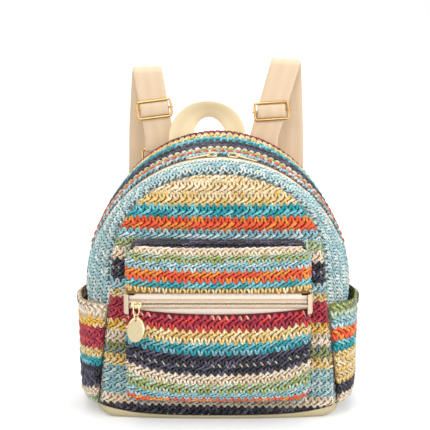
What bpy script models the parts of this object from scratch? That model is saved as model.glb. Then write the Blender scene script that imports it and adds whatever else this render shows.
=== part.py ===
"""Small backpack of striped crocheted straw, with webbing straps and two zippers.

Metres, +Z up. The front faces -Y, X = 0 is the middle plane, and the bag stands on z = 0.
Straw walls are ridged sheets: one ridge for each row of stitches.
"""
import math
from dataclasses import dataclass

import bmesh
import bpy
from mathutils import Matrix, Vector

# Clearances
SEAM_GAP = 0.0003
RUN_GAP = 0.0004

# Straw cloth
STRAW_WALL = 0.0024
ROW_PITCH = 0.0110
RIDGE = 0.0006
SEAM_ROLL = 0.0040
RIM_STRIP = 0.0016

# Body: the front seam leans, so its depth changes with height
DATUM_Y = 0.0008
FRONT_SEAM_TOP_Y = DATUM_Y - 0.0370
MIDDLE_Y = DATUM_Y + 0.0260
BACK_Y = DATUM_Y + 0.0670
FRONT_SEAM_LEAN = 0.0140
FRONT_BULGE = 0.0060
FRONT_FOOT_MIDDLE_Z = 0.0050
LEG_SHARE = 0.19
ARCH_STEPS = 32
FRONT_COLUMNS = 8
FRONT_GUSSET_ROWS = 3
REAR_GUSSET_ROWS = 6
SHOULDER_SHARE = 0.40

# Back panel
BACK_BULGE = 0.0030
BACK_COLUMNS = 6
BACK_ROW_PITCH = 0.0260

# Base tray
BASE_ROLL_INSET = 0.0070

# Main zipper
ZIP_Y = DATUM_Y - 0.0070
ZIP_MOUTH = 0.0090
ZIP_HEM = 0.0036
TAPE_THICKNESS = 0.0006
COIL_HEIGHT = 0.0023
COIL_WIDTH = 0.0027
COIL_SLOT = 0.0010
ZIP_ARC_STEPS = 32
ARCH_SAG = 0.0005
ZIP_FOOT_Z = 0.0120
LEFT_SLIDER_DEG = -2.6
RIGHT_SLIDER_DEG = 6.4

# Slider, in its own frame: X along the zipper, Y across it, Z out of the bag
SLIDER_LENGTH = 0.0096
SLIDER_WIDTH = 0.0076
SLIDER_TAIL_WIDTH = 0.0056
SLIDER_PLATE = 0.0010
SLIDER_POST_LENGTH = 0.0040
SLIDER_POST_WIDTH = 0.0004
BRIDGE_BAR = 0.0013
BRIDGE_WINDOW_LENGTH = 0.0068
BRIDGE_WINDOW_HEIGHT = 0.0025

# Main zipper pulls
PULL_LENGTH = 0.0230
PULL_WIDTH = 0.0064
PULL_THICKNESS = 0.0011
PULL_RIM = 0.0012
PULL_EYE_LENGTH = 0.0034
PULL_EYE_WIDTH = 0.0034
PULL_REST_DEG = 6.0
PULL_YAW_DEG = 14.0

# Side pockets
SIDE_POCKET_TOP_Z = 0.1130
SIDE_POCKET_ROOM = 0.0058
SIDE_POCKET_SPREAD = 0.0068
SIDE_POCKET_TURN = 30
SIDE_POCKET_COLUMNS = 8
POCKET_SIDE_PITCH = 0.0300

# Front pocket
POCKET_HALF_WIDTH = 0.0875
POCKET_BOTTOM_Z = 0.0240
POCKET_TOP_Z = 0.1770
POCKET_FACE_Y = DATUM_Y - 0.0815
POCKET_CORNER = 0.0150
POCKET_ROLL = 0.0060
POCKET_BULGE = 0.0040
POCKET_WALL = 0.0022
POCKET_COLUMNS = 8
POCKET_ZIP_Z = 0.1210
POCKET_WINDOW = 0.0205
POCKET_SLIDER_INSET = 0.0105
POCKET_SLIDER_X = POCKET_SLIDER_INSET - POCKET_HALF_WIDTH
POCKET_TAB_HEIGHT = 0.0190
POCKET_TAB_LAP = 0.0080
POCKET_TAB_START_DEG = 24.0
POCKET_TAB_THICKNESS = 0.0010

# Chain on the pocket slider
CHAIN_TILT_DEG = 22.0
LINK_YAW_DEG = -40.0
RING_YAW_DEG = 48.0
DISC_YAW_DEG = -47.0
LINK_WIRE = 0.0012
LINK_WIDTH = 0.0084
LINK_LENGTH = 0.0125
RING_WIRE = 0.0011
RING_DIAMETER = 0.0062
DISC_DIAMETER = 0.0240
DISC_THICKNESS = 0.0020
DISC_HOLE = 0.0032
DISC_HOLE_INSET = 0.0028

# Webbing
WEB_WIDTH = 0.0300
WEB_THICKNESS = 0.0014

# Strap hardware
RING_BAR = 0.0028
RING_BAR_SPACING = 0.0110
STRAP_RING_Z = 0.2330
TAB_DROP = 0.0300
FRAME_WIRE = 0.0026
FRAME_HEIGHT = 0.0200
FRAME_HALF_WIDTH = WEB_WIDTH / 2
FRAME_END_BOW = 0.0024
BAR_WIRE = 0.0014
RETURN_FOOT_Z = 0.2520
LOOP_DEPTH = 0.0130
LOWER_TAB_THICKNESS = 0.0020

# Handle
HANDLE_LEFT_WIDTH = 0.0250
HANDLE_RIGHT_WIDTH = 0.0200
HANDLE_MIDDLE_X = -0.0096
HANDLE_HALF_SPAN = 0.0284
HANDLE_FOOT_Z = 0.2400
HANDLE_SPRING_Z = 0.2560
HANDLE_TOP_Z = 0.2872
HANDLE_TILT_DEG = 36.0

# Finishes: colour, roughness, metallic
FINISHES = {
    "straw_cream": ((0.86, 0.74, 0.58), 0.75, 0.0),
    "straw_blue": ((0.27, 0.48, 0.52), 0.75, 0.0),
    "straw_navy": ((0.03, 0.03, 0.06), 0.70, 0.0),
    "straw_teal": ((0.02, 0.31, 0.36), 0.70, 0.0),
    "webbing": ((0.86, 0.68, 0.45), 0.45, 0.0),
    "zip_tape": ((0.90, 0.78, 0.64), 0.50, 0.0),
    "coil": ((0.80, 0.62, 0.46), 0.40, 0.0),
    "pale_gold": ((0.80, 0.66, 0.36), 0.22, 1.0),
    "base_cloth": ((0.72, 0.62, 0.42), 0.80, 0.0),
}


@dataclass(frozen=True)
class Arch:
    """A cross-section of the bag, as seen from the front."""

    y: float
    spring_half: float
    spring_z: float
    crown_z: float
    power: float
    foot_half: float
    foot_z: float


FRONT = Arch(FRONT_SEAM_TOP_Y, 0.1030, 0.1400, 0.2380, 2.3, 0.1145, 0.0140)
ZIP = Arch(ZIP_Y, 0.1290, 0.1220, 0.2510, 2.0, 0.1200, 0.0090)
MIDDLE = Arch(MIDDLE_Y, 0.1285, 0.1260, 0.2590, 2.0, 0.1195, 0.0070)
BACK = Arch(BACK_Y, 0.1120, 0.1560, 0.2660, 2.0, 0.1110, 0.0070)


def finish(name: str) -> bpy.types.Material:
    """Return the material of a finish, made when it is first asked for."""
    if name in bpy.data.materials:
        return bpy.data.materials[name]
    colour, roughness, metallic = FINISHES[name]
    material = bpy.data.materials.new(name)
    material.use_nodes = True
    shader = material.node_tree.nodes["Principled BSDF"]
    shader.inputs["Base Color"].default_value = (*colour, 1.0)
    shader.inputs["Roughness"].default_value = roughness
    shader.inputs["Metallic"].default_value = metallic
    material.diffuse_color = (*colour, 1.0)
    return material


def clear_scene() -> None:
    """Remove whatever the file holds."""
    for leftover in list(bpy.data.objects):
        bpy.data.objects.remove(leftover, do_unlink=True)


def new_collection(name: str) -> bpy.types.Collection:
    """Add a collection to the scene."""
    collection = bpy.data.collections.new(name)
    bpy.context.scene.collection.children.link(collection)
    return collection


def add_object(name: str, data, material: str, parent=None) -> bpy.types.Object:
    """Add a finished piece to the part's collection."""
    piece = bpy.data.objects.new(name, data)
    data.materials.append(finish(material))
    PARTS.objects.link(piece)
    piece.parent = parent
    return piece


def add_pivot(name: str, place: Matrix, parent=None) -> bpy.types.Object:
    """Add an empty at a joint, given in its parent's frame."""
    pivot = bpy.data.objects.new(name, None)
    pivot.empty_display_size = 0.01
    PARTS.objects.link(pivot)
    pivot.parent = parent
    pivot.matrix_local = place
    return pivot


def mesh_of(name: str, points: list, faces: list) -> bpy.types.Mesh:
    """Make a mesh whose faces are then turned the same way round."""
    mesh = bpy.data.meshes.new(name)
    mesh.from_pydata([tuple(point) for point in points], [], faces)
    mesh.update()
    return mesh


def thicken(piece: bpy.types.Object, thickness: float, offset: float) -> None:
    """Give an open sheet its thickness; offset -1 keeps the sheet as the outer side."""
    wall = piece.modifiers.new("wall", "SOLIDIFY")
    wall.thickness = thickness
    wall.offset = offset
    wall.use_even_offset = True


def grid_faces(rows: int, columns: int, closed: bool = False) -> list:
    """Quads of a grid whose rows follow each other; closed joins each row's ends."""
    faces = []
    for row in range(rows - 1):
        for column in range(columns if closed else columns - 1):
            right = (column + 1) % columns
            faces.append((row * columns + column, row * columns + right,
                          (row + 1) * columns + right, (row + 1) * columns + column))
    return faces


def add_sheet(name: str, grid: list, material: str, thickness: float, outward,
              offset: float = -1.0, closed: bool = False) -> bpy.types.Object:
    """Add a sheet through a grid of points, facing the side that outward gives."""
    columns = len(grid[0])
    points = [point for row in grid for point in row]
    faces = grid_faces(len(grid), columns, closed)
    mesh = mesh_of(name, points, faces)
    face_sheet(mesh, outward)
    piece = add_object(name, mesh, material)
    thicken(piece, thickness, offset)
    return piece


def face_sheet(mesh: bpy.types.Mesh, outward) -> None:
    """Turn a sheet over where most of it faces against outward(centre)."""
    score = sum(face.area * face.normal.dot(outward(face.center)) for face in mesh.polygons)
    if score < 0:
        mesh.flip_normals()


def radial(point: Vector) -> Vector:
    """Direction out of the bag's sides and top."""
    return Vector((point.x, 0.0, point.z - ZIP.spring_z)).normalized()


def forward(point: Vector) -> Vector:
    """Direction out of the bag's front."""
    return Vector((0.0, -1.0, 0.0))


def backward(point: Vector) -> Vector:
    """Direction out of the bag's back."""
    return Vector((0.0, 1.0, 0.0))


def arch_point(arch: Arch, share: float) -> tuple:
    """Place (x, z) on an arch, from its left foot (0) over the crown to its right foot (1)."""
    side = -1.0 if share < 0.5 else 1.0
    climb = min(share, 1.0 - share)
    if climb < LEG_SHARE:
        part = climb / LEG_SHARE
        return (side * (arch.foot_half + (arch.spring_half - arch.foot_half) * part),
                arch.foot_z + (arch.spring_z - arch.foot_z) * part)
    angle = (climb - LEG_SHARE) / (0.5 - LEG_SHARE) * math.pi / 2
    x = arch.spring_half * max(math.cos(angle), 0.0) ** (2 / arch.power)
    z = arch.spring_z + (arch.crown_z - arch.spring_z) * math.sin(angle) ** (2 / arch.power)
    return side * x, z


def half_width(arch: Arch, z: float, inset: float = 0.0) -> float:
    """Half the arch's width at a height."""
    if z <= arch.spring_z:
        part = (z - arch.foot_z) / (arch.spring_z - arch.foot_z)
        return arch.foot_half + (arch.spring_half - arch.foot_half) * part - inset
    rise = (z - arch.spring_z) / (arch.crown_z - inset - arch.spring_z)
    return (arch.spring_half - inset) * max(1 - rise ** arch.power, 0.0) ** (1 / arch.power)


def front_seam_y(z: float) -> float:
    """Depth of the leaning front seam at a height."""
    return FRONT_SEAM_TOP_Y - FRONT_SEAM_LEAN * (1 - z / FRONT.crown_z)


def front_foot_z(x: float) -> float:
    """Height of the front panel's lower edge, which dips in the middle."""
    share = min(abs(x) / FRONT.foot_half, 1.0)
    return FRONT_FOOT_MIDDLE_Z + (FRONT.foot_z - FRONT_FOOT_MIDDLE_Z) * share ** 4


def front_face_y(x: float, z: float) -> float:
    """Depth of the front panel's face, without its ridges."""
    half = max(half_width(FRONT, z, SEAM_ROLL), 0.001)
    crown = max(1 - (x / half) ** 2, 0.0)
    return front_seam_y(z) - SEAM_ROLL - FRONT_BULGE * crown


def back_face_y(x: float, z: float) -> float:
    """Depth of the back panel's face, without its ridges."""
    half = max(half_width(BACK, z, SEAM_ROLL), 0.001)
    crown = max(1 - (x / half) ** 2, 0.0)
    return BACK.y + SEAM_ROLL + BACK_BULGE * crown


def blend(low: float, middle: float, high: float, at: tuple, y: float) -> float:
    """Smooth curve through three values given at the three depths in at."""
    a, b, c = at
    return (low * (y - b) * (y - c) / ((a - b) * (a - c))
            + middle * (y - a) * (y - c) / ((b - a) * (b - c))
            + high * (y - a) * (y - b) / ((c - a) * (c - b)))


def rear_arch(y: float) -> Arch:
    """Cross-section of the rear gusset at a depth."""
    at = (ZIP.y, MIDDLE.y, BACK.y)
    sizes = {}
    for field in ("spring_half", "spring_z", "crown_z", "power", "foot_half", "foot_z"):
        values = [getattr(arch, field) for arch in (ZIP, MIDDLE, BACK)]
        sizes[field] = blend(*values, at, y)
    return Arch(y, **sizes)


def shoulder_point(front: Vector, rear: Vector, part: float) -> Vector:
    """Point across the front gusset, which leaves the zipper square to it."""
    turn = Vector((rear.x, front.y + (rear.y - front.y) * SHOULDER_SHARE, rear.z))
    return (1 - part) ** 2 * front + 2 * part * (1 - part) * turn + part ** 2 * rear


ZIP_FRONT_EDGE = ZIP_Y - ZIP_MOUTH / 2
ZIP_REAR_EDGE = ZIP_Y + ZIP_MOUTH / 2
HEM_DEPTH = ZIP_HEM + SEAM_GAP


def front_gusset_point(share: float, part: float) -> Vector:
    """Point on the front gusset between its seam strip (0) and its flat hem (1)."""
    x, z = arch_point(FRONT, share)
    front = Vector((x, front_seam_y(z) + SEAM_GAP + RIM_STRIP, z))
    x, z = arch_point(ZIP, share)
    return shoulder_point(front, Vector((x, ZIP_FRONT_EDGE - HEM_DEPTH, z)), part)


def rear_gusset_point(share: float, y: float) -> Vector:
    """Point on the rear gusset: share runs along the arch."""
    x, z = arch_point(rear_arch(y), share)
    return Vector((x, y, z))


def side_place(along: float, z: float) -> Vector:
    """Place on the right side wall at a height: from the front seam (0) to the back seam (1)."""
    first = front_seam_y(z)
    y = first + (BACK.y - first) * along
    split = (ZIP_FRONT_EDGE - HEM_DEPTH - first) / (BACK.y - first)
    if along >= split:
        return Vector((half_width(rear_arch(max(y, ZIP_Y)), z), y, z))
    front = Vector((half_width(FRONT, z), first, z))
    rear = Vector((half_width(ZIP, z), ZIP_FRONT_EDGE - HEM_DEPTH, z))
    return shoulder_point(front, rear, along / split)


def side_outward(along: float, z: float) -> Vector:
    """Direction out of the right side wall, level."""
    step = 0.02
    run = side_place(min(along + step, 1.0), z) - side_place(max(along - step, 0.0), z)
    return Vector((run.y, -run.x, 0.0)).normalized()


def side_foot_z(y: float) -> float:
    """Height of the side walls' lower edge at a depth."""
    if y >= ZIP_FRONT_EDGE:
        return rear_arch(max(y, ZIP_Y)).foot_z
    seam = front_seam_y(FRONT.foot_z)
    part = max(y - seam, 0.0) / (ZIP_FRONT_EDGE - seam)
    return FRONT.foot_z + (ZIP.foot_z - FRONT.foot_z) * part


def row_lines(low: float, high: float, pitch: float) -> list:
    """Heights of the crests and valleys of stitch rows between two edges."""
    count = max(2 * round((high - low) / pitch), 2)
    return [low + (high - low) * index / count for index in range(count + 1)]


def ridge_at(index: int) -> float:
    """Height of a ridge line: crests stand out and valleys go in."""
    return RIDGE if index % 2 else -RIDGE


def panel_grid(arch: Arch, face_y, foot_z, lines: list, columns: int, out: float) -> list:
    """Grid of a domed panel's face: one row of points for each ridge line."""
    grid = []
    for index, line in enumerate(lines):
        half = half_width(arch, line, SEAM_ROLL)
        settle = max(1 - index / 6, 0.0)
        row = []
        for column in range(columns + 1):
            x = half * (2 * column / columns - 1)
            z = line + (foot_z(x) - lines[0]) * settle
            row.append(Vector((x, face_y(x, z) + out * ridge_at(index), z)))
        grid.append(row)
    return grid


def rolled_panel(name: str, grid: list, rim_y, back: float, material: str, wall: float,
                 roll: float, outward) -> bpy.types.Object:
    """Add a panel whose border rolls back to a rim that faces along Y.

    The border leaves out the first row's side, which ends straight. back is the sign of Y
    that leads from the face to the rim, and rim_y gives the rim's depth at a height.
    """
    rows, columns = len(grid), len(grid[0])
    points = [point for row in grid for point in row]
    faces = grid_faces(rows, columns)
    border = [row * columns for row in range(rows)]
    border += [(rows - 1) * columns + column for column in range(1, columns)]
    border += [row * columns + columns - 1 for row in range(rows - 2, -1, -1)]
    middle = sum((points[index] for index in border), Vector()) / len(border)
    outs = []
    for place, index in enumerate(border):
        before = points[border[max(place - 1, 0)]]
        after = points[border[min(place + 1, len(border) - 1)]]
        along = after - before
        out = Vector((along.z, 0.0, -along.x)).normalized()
        if out.dot(Vector((points[index].x - middle.x, 0.0, points[index].z - middle.z))) < 0:
            out = -out
        if place in (0, len(border) - 1):
            out = Vector((math.copysign(1.0, out.x), 0.0, 0.0))
        outs.append(out)
    previous = border
    for strip in (RIM_STRIP, 0.0):
        ring = []
        for index, out in zip(border, outs):
            rim = points[index] + out * roll
            rim.y = rim_y(rim.z) - back * strip
            ring.append(len(points))
            points.append(rim)
        for place in range(len(border) - 1):
            faces.append((previous[place], previous[place + 1], ring[place + 1], ring[place]))
        previous = ring
    mesh = mesh_of(name, points, faces)
    sheet = bmesh.new()
    sheet.from_mesh(mesh)
    bmesh.ops.recalc_face_normals(sheet, faces=sheet.faces)
    sheet.to_mesh(mesh)
    sheet.free()
    face_sheet(mesh, outward)
    piece = add_object(name, mesh, material)
    thicken(piece, wall, -1.0)
    return piece


def front_lines() -> list:
    """Ridge lines of the front panel."""
    return row_lines(FRONT.foot_z, FRONT.crown_z - SEAM_ROLL - RIDGE, ROW_PITCH)


def back_lines() -> list:
    """Ridge lines of the back panel, whose hidden rows are drawn wider."""
    return row_lines(BACK.foot_z, BACK.crown_z - SEAM_ROLL - RIDGE, BACK_ROW_PITCH)


def build_panels() -> None:
    """Build the domed front and back panels."""
    grid = panel_grid(FRONT, front_face_y, front_foot_z, front_lines(), FRONT_COLUMNS, -1.0)
    rolled_panel("front_panel", grid, front_seam_y, 1.0, "straw_cream", STRAW_WALL,
                 SEAM_ROLL, forward)
    grid = panel_grid(BACK, back_face_y, lambda x: BACK.foot_z, back_lines(), BACK_COLUMNS, 1.0)
    rolled_panel("back_panel", grid, lambda z: BACK.y, -1.0, "straw_cream", STRAW_WALL,
                 SEAM_ROLL, backward)


def arch_shares(steps: int) -> list:
    """Even steps along an arch."""
    return [index / steps for index in range(steps + 1)]


def rear_depths() -> list:
    """Depths of the rear gusset's lines: its flat hem, its rows and its seam strip."""
    low, high = ZIP_REAR_EDGE + HEM_DEPTH, BACK.y - SEAM_GAP - RIM_STRIP
    count = 2 * REAR_GUSSET_ROWS
    rows = [low + (high - low) * index / count for index in range(count + 1)]
    return [ZIP_REAR_EDGE] + rows + [BACK.y - SEAM_GAP]


def front_line(share: float) -> list:
    """Points across the front gusset: its seam strip, its rows and its flat hem."""
    count = 2 * FRONT_GUSSET_ROWS
    rows = [front_gusset_point(share, index / count) for index in range(count + 1)]
    return ([rows[0] - Vector((0.0, RIM_STRIP, 0.0))] + rows
            + [rows[-1] + Vector((0.0, HEM_DEPTH, 0.0))])


def rear_line(share: float) -> list:
    """Points across the rear gusset; the flat hem and the seam strip keep their arch."""
    depths = rear_depths()
    points = [rear_gusset_point(share, y) for y in depths[1:-1]]
    x, z = arch_point(ZIP, share)
    points[0] = Vector((x, depths[1], z))
    return ([Vector((x, depths[0], z))] + points
            + [points[-1] + Vector((0.0, RIM_STRIP, 0.0))])


def build_gussets() -> None:
    """Build the bands in front of and behind the main zipper; their rows follow the arch."""
    for name, line, material in (("front_gusset", front_line, "straw_blue"),
                                 ("rear_gusset", rear_line, "straw_teal")):
        columns = []
        for share in arch_shares(ARCH_STEPS):
            points = line(share)
            last = len(points) - 1
            for index in range(2, last - 1):
                points[index] = points[index] + radial(points[index]) * -ridge_at(index)
            columns.append(points)
        grid = [list(row) for row in zip(*columns)]
        add_sheet(name, grid, material, STRAW_WALL, radial)


def foot_ring() -> list:
    """Outline of the walls' lower edges, which the base tray continues, all the way round."""
    ring = []
    half = half_width(FRONT, FRONT.foot_z, SEAM_ROLL)
    for column in range(FRONT_COLUMNS + 1):
        x = half * (2 * column / FRONT_COLUMNS - 1)
        z = front_foot_z(x)
        ring.append(Vector((x, front_face_y(x, z), z)))
    lean = front_seam_y(FRONT.foot_z)
    right = [Vector((half + SEAM_ROLL, lean - RIM_STRIP, front_foot_z(half)))]
    right += front_line(1.0)[1:-1]
    right += rear_line(1.0)[1:-1]
    back_half = half_width(BACK, BACK.foot_z, SEAM_ROLL)
    right.append(Vector((back_half + SEAM_ROLL, BACK.y + RIM_STRIP, BACK.foot_z)))
    ring += right
    for column in range(BACK_COLUMNS, -1, -1):
        x = back_half * (2 * column / BACK_COLUMNS - 1)
        ring.append(Vector((x, back_face_y(x, BACK.foot_z), BACK.foot_z)))
    ring += [Vector((-point.x, point.y, point.z)) for point in reversed(right)]
    return ring


def build_base() -> None:
    """Build the base tray: a rim under the walls, a rolled edge and a flat bottom."""
    rim = foot_ring()
    middle = Vector((0.0, (min(p.y for p in rim) + max(p.y for p in rim)) / 2, 0.0))
    rings = [[point - Vector((0.0, 0.0, drop)) for point in rim]
             for drop in (SEAM_GAP + RIDGE, SEAM_GAP + RIDGE + RIM_STRIP)]
    for turn in (math.pi / 4, math.pi / 2):
        ring = []
        for point in rim:
            inward = Vector((middle.x - point.x, middle.y - point.y, 0.0)).normalized()
            place = point + inward * BASE_ROLL_INSET * (1 - math.cos(turn))
            place.z = (point.z - SEAM_GAP - RIDGE - RIM_STRIP) * (1 - math.sin(turn))
            ring.append(place)
        rings.append(ring)
    points = [point for ring in rings for point in ring]
    count = len(rim)
    faces = grid_faces(len(rings), count, closed=True)
    faces.append(tuple(range(3 * count, 4 * count)))
    mesh = mesh_of("base_panel", points, faces)
    tray = bmesh.new()
    tray.from_mesh(mesh)
    bmesh.ops.recalc_face_normals(tray, faces=tray.faces)
    tray.to_mesh(mesh)
    tray.free()
    face_sheet(mesh, lambda centre: Vector((0.0, 0.0, -1.0)))
    piece = add_object("base_panel", mesh, "base_cloth")
    thicken(piece, STRAW_WALL - RIDGE, -1.0)


def build_side_pocket(name: str, side: float) -> None:
    """Build one open-topped side pocket, sewn along both seams and the foot."""
    lines = row_lines(0.0, 1.0, ROW_PITCH / (SIDE_POCKET_TOP_Z - FRONT.foot_z))
    least = STRAW_WALL + SEAM_GAP + 2 * RIDGE
    grid = []
    for index, line in enumerate(lines):
        row = []
        for column in range(SIDE_POCKET_COLUMNS + 1):
            along = column / SIDE_POCKET_COLUMNS
            low = side_foot_z(side_place(along, BACK.foot_z).y)
            z = low + (SIDE_POCKET_TOP_Z - low) * line
            room = ((SIDE_POCKET_ROOM + SIDE_POCKET_SPREAD * (1 - line))
                    * (1 - (1 - line) ** SIDE_POCKET_TURN))
            reach = least + room * math.sin(math.pi * along) ** 0.6 + ridge_at(index)
            point = side_place(along, z) + side_outward(along, z) * reach
            row.append(Vector((side * point.x, point.y, z)))
        grid.append(row)
    add_sheet(name, grid, "straw_navy", STRAW_WALL, radial)


def sweep(name: str, sections: list, material: str, parent=None) -> bpy.types.Object:
    """Add a solid bar through closed sections of equal count, with flat ends."""
    count = len(sections[0])
    points = [point for section in sections for point in section]
    faces = grid_faces(len(sections), count, closed=True)
    faces.append(tuple(range(count)))
    faces.append(tuple(range(len(points) - count, len(points))))
    mesh = mesh_of(name, points, faces)
    solid = bmesh.new()
    solid.from_mesh(mesh)
    bmesh.ops.recalc_face_normals(solid, faces=solid.faces)
    solid.to_mesh(mesh)
    solid.free()
    return add_object(name, mesh, material, parent)


def zip_frame(share: float) -> tuple:
    """Centre, outward direction of the main zipper's line at a share of its arch."""
    x, z = arch_point(ZIP, share)
    if ZIP_LEG < share < 1 - ZIP_LEG:
        out = Vector((x, 0.0, z - ZIP.spring_z)).normalized()
    else:
        out = Vector((math.copysign(1.0, x), 0.0, 0.0))
    return Vector((x, ZIP_Y, z)), out


ZIP_LEG = LEG_SHARE
TAPE_DROP = STRAW_WALL + SEAM_GAP + ARCH_SAG
COIL_FOOT_DROP = TAPE_DROP - SEAM_GAP


def zip_shares() -> list:
    """Places along the main zipper, fine on the arc that the sliders run on."""
    low = LEG_SHARE * (ZIP_FOOT_Z - ZIP.foot_z) / (ZIP.spring_z - ZIP.foot_z)
    legs = [low + (LEG_SHARE - low) * index / 2 for index in range(2)]
    arc = [LEG_SHARE + (1 - 2 * LEG_SHARE) * index / ZIP_ARC_STEPS
           for index in range(ZIP_ARC_STEPS + 1)]
    return legs + arc + [1 - share for share in reversed(legs)]


def build_main_zip() -> None:
    """Build the main zipper's two tapes and two coil rows along its arch."""
    for name, side in (("front", -1.0), ("rear", 1.0)):
        tape, coil = [], []
        near = COIL_SLOT / 2
        far = ZIP_MOUTH / 2 + ZIP_HEM
        for share in zip_shares():
            place, out = zip_frame(share)
            across = Vector((0.0, side, 0.0))
            top = place - out * TAPE_DROP
            low = top - out * TAPE_THICKNESS
            tape.append([top + across * near, top + across * far,
                         low + across * far, low + across * near])
            foot = place - out * COIL_FOOT_DROP
            crest = foot + out * COIL_HEIGHT
            coil.append([foot + across * near, foot + across * (near + COIL_WIDTH),
                         crest + across * (near + COIL_WIDTH * 0.7), crest + across * near])
        sweep(f"main_tape_{name}", tape, "zip_tape")
        sweep(f"main_coil_{name}", coil, "coil")


def prism(name: str, outline: list, low: float, high: float, axes: str) -> bpy.types.Mesh:
    """Mesh of a flat outline given in two axes and drawn out along the third."""
    order = {"xy": (0, 1, 2), "xz": (0, 2, 1)}[axes]
    points = []
    for level in (low, high):
        for first, second in outline:
            place = [0.0, 0.0, 0.0]
            place[order[0]], place[order[1]], place[order[2]] = first, second, level
            points.append(tuple(place))
    count = len(outline)
    faces = [tuple(range(count)), tuple(range(count, 2 * count))]
    faces += [(i, (i + 1) % count, count + (i + 1) % count, count + i) for i in range(count)]
    mesh = mesh_of(name, points, faces)
    solid = bmesh.new()
    solid.from_mesh(mesh)
    bmesh.ops.recalc_face_normals(solid, faces=solid.faces)
    solid.to_mesh(mesh)
    solid.free()
    return mesh


def join_shape(piece: bpy.types.Object, mesh: bpy.types.Mesh, operation: str) -> None:
    """Join a shape to a piece, or cut it from the piece, in the piece's own frame."""
    tool = bpy.data.objects.new(f"{piece.name}_{len(CUTTERS.objects)}", mesh)
    CUTTERS.objects.link(tool)
    tool.parent = piece
    tool.hide_render = True
    tool.display_type = "WIRE"
    change = piece.modifiers.new(operation.lower(), "BOOLEAN")
    change.operation = operation
    change.solver = "EXACT"
    change.object = tool


def slider_heights(tape_drop: float) -> tuple:
    """Levels of a slider's plates, from the zipper's line: top plate's foot, bottom plate's top."""
    crest = -tape_drop + SEAM_GAP + COIL_HEIGHT
    return crest + RUN_GAP, -tape_drop - TAPE_THICKNESS - RUN_GAP


def add_slider(name: str, pivot: bpy.types.Object, place: Matrix, nose: float,
               tape_drop: float) -> bpy.types.Object:
    """Add a slider: two plates joined by a thin post, with a bridge for its pull.

    nose is the sign of local X that the slider closes towards.
    """
    top, bottom = slider_heights(tape_drop)
    half = SLIDER_LENGTH / 2
    outline = [(nose * half, -SLIDER_WIDTH * 0.32), (nose * half, SLIDER_WIDTH * 0.32),
               (nose * half * 0.5, SLIDER_WIDTH / 2), (-nose * half, SLIDER_TAIL_WIDTH / 2),
               (-nose * half, -SLIDER_TAIL_WIDTH / 2), (nose * half * 0.5, -SLIDER_WIDTH / 2)]
    if nose < 0:
        outline.reverse()
    plate = prism(name, outline, top, top + SLIDER_PLATE, "xy")
    plate.transform(place)
    slider = add_object(name, plate, "pale_gold", pivot)
    under = prism("under", outline, bottom - SLIDER_PLATE, bottom, "xy")
    post_half = SLIDER_POST_LENGTH / 2
    post = prism("post", [(-post_half, -SLIDER_POST_WIDTH / 2), (post_half, -SLIDER_POST_WIDTH / 2),
                          (post_half, SLIDER_POST_WIDTH / 2), (-post_half, SLIDER_POST_WIDTH / 2)],
                 bottom - SLIDER_PLATE / 2, top + SLIDER_PLATE / 2, "xy")
    inner = BRIDGE_WINDOW_LENGTH / 2
    outer = inner + BRIDGE_BAR
    foot = top + SLIDER_PLATE / 2
    sill = top + SLIDER_PLATE + BRIDGE_WINDOW_HEIGHT
    arch = [(-outer, foot), (-inner, foot), (-inner, sill), (inner, sill), (inner, foot),
            (outer, foot), (outer, sill + BRIDGE_BAR * 0.4), (inner, sill + BRIDGE_BAR),
            (-inner, sill + BRIDGE_BAR), (-outer, sill + BRIDGE_BAR * 0.4)]
    bridge = prism("bridge", arch, -BRIDGE_BAR / 2, BRIDGE_BAR / 2, "xz")
    for shape in (under, post, bridge):
        shape.transform(place)
        join_shape(slider, shape, "UNION")
    return slider


def capsule(length: float, near: float, far: float, start: float, steps: int = 5) -> list:
    """Outline of a tapered bar with round ends, along +X from start, as points."""
    points = []
    for step in range(steps + 1):
        angle = math.pi / 2 + math.pi * step / steps
        points.append((start + near + near * math.cos(angle), near * math.sin(angle)))
    for step in range(steps + 1):
        angle = -math.pi / 2 + math.pi * step / steps
        points.append((start + length - far + far * math.cos(angle), far * math.sin(angle)))
    return points


def flat_plate(name: str, outlines: list, thickness: float) -> bpy.types.Mesh:
    """Mesh of a flat plate: the first outline is its edge and the others are its holes."""
    shape = bpy.data.curves.new(name, "CURVE")
    shape.dimensions = "2D"
    shape.fill_mode = "BOTH"
    shape.extrude = thickness / 2
    for outline in outlines:
        spline = shape.splines.new("POLY")
        spline.points.add(len(outline) - 1)
        for point, (x, y) in zip(spline.points, outline):
            point.co = (x, y, 0.0, 1.0)
        spline.use_cyclic_u = True
    return welded_mesh(name, shape)


def welded_mesh(name: str, shape: bpy.types.Curve) -> bpy.types.Mesh:
    """Turn a curve into a mesh and weld its caps."""
    carrier = bpy.data.objects.new(name, shape)
    CUTTERS.objects.link(carrier)
    view = bpy.context.evaluated_depsgraph_get()
    mesh = bpy.data.meshes.new_from_object(carrier.evaluated_get(view))
    bpy.data.objects.remove(carrier, do_unlink=True)
    solid = bmesh.new()
    solid.from_mesh(mesh)
    bmesh.ops.remove_doubles(solid, verts=solid.verts, dist=0.00001)
    bmesh.ops.recalc_face_normals(solid, faces=solid.faces)
    solid.to_mesh(mesh)
    solid.free()
    mesh.materials.clear()
    return mesh


def wire_mesh(name: str, points: list, diameter: float, closed: bool,
              resolution: int = 1) -> bpy.types.Mesh:
    """Mesh of a round wire bent through points."""
    shape = bpy.data.curves.new(name, "CURVE")
    shape.dimensions = "3D"
    shape.bevel_depth = diameter / 2
    shape.bevel_resolution = resolution
    shape.use_fill_caps = not closed
    spline = shape.splines.new("POLY")
    spline.points.add(len(points) - 1)
    for knot, point in zip(spline.points, points):
        knot.co = (*point, 1.0)
    spline.use_cyclic_u = closed
    return welded_mesh(name, shape)


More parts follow.
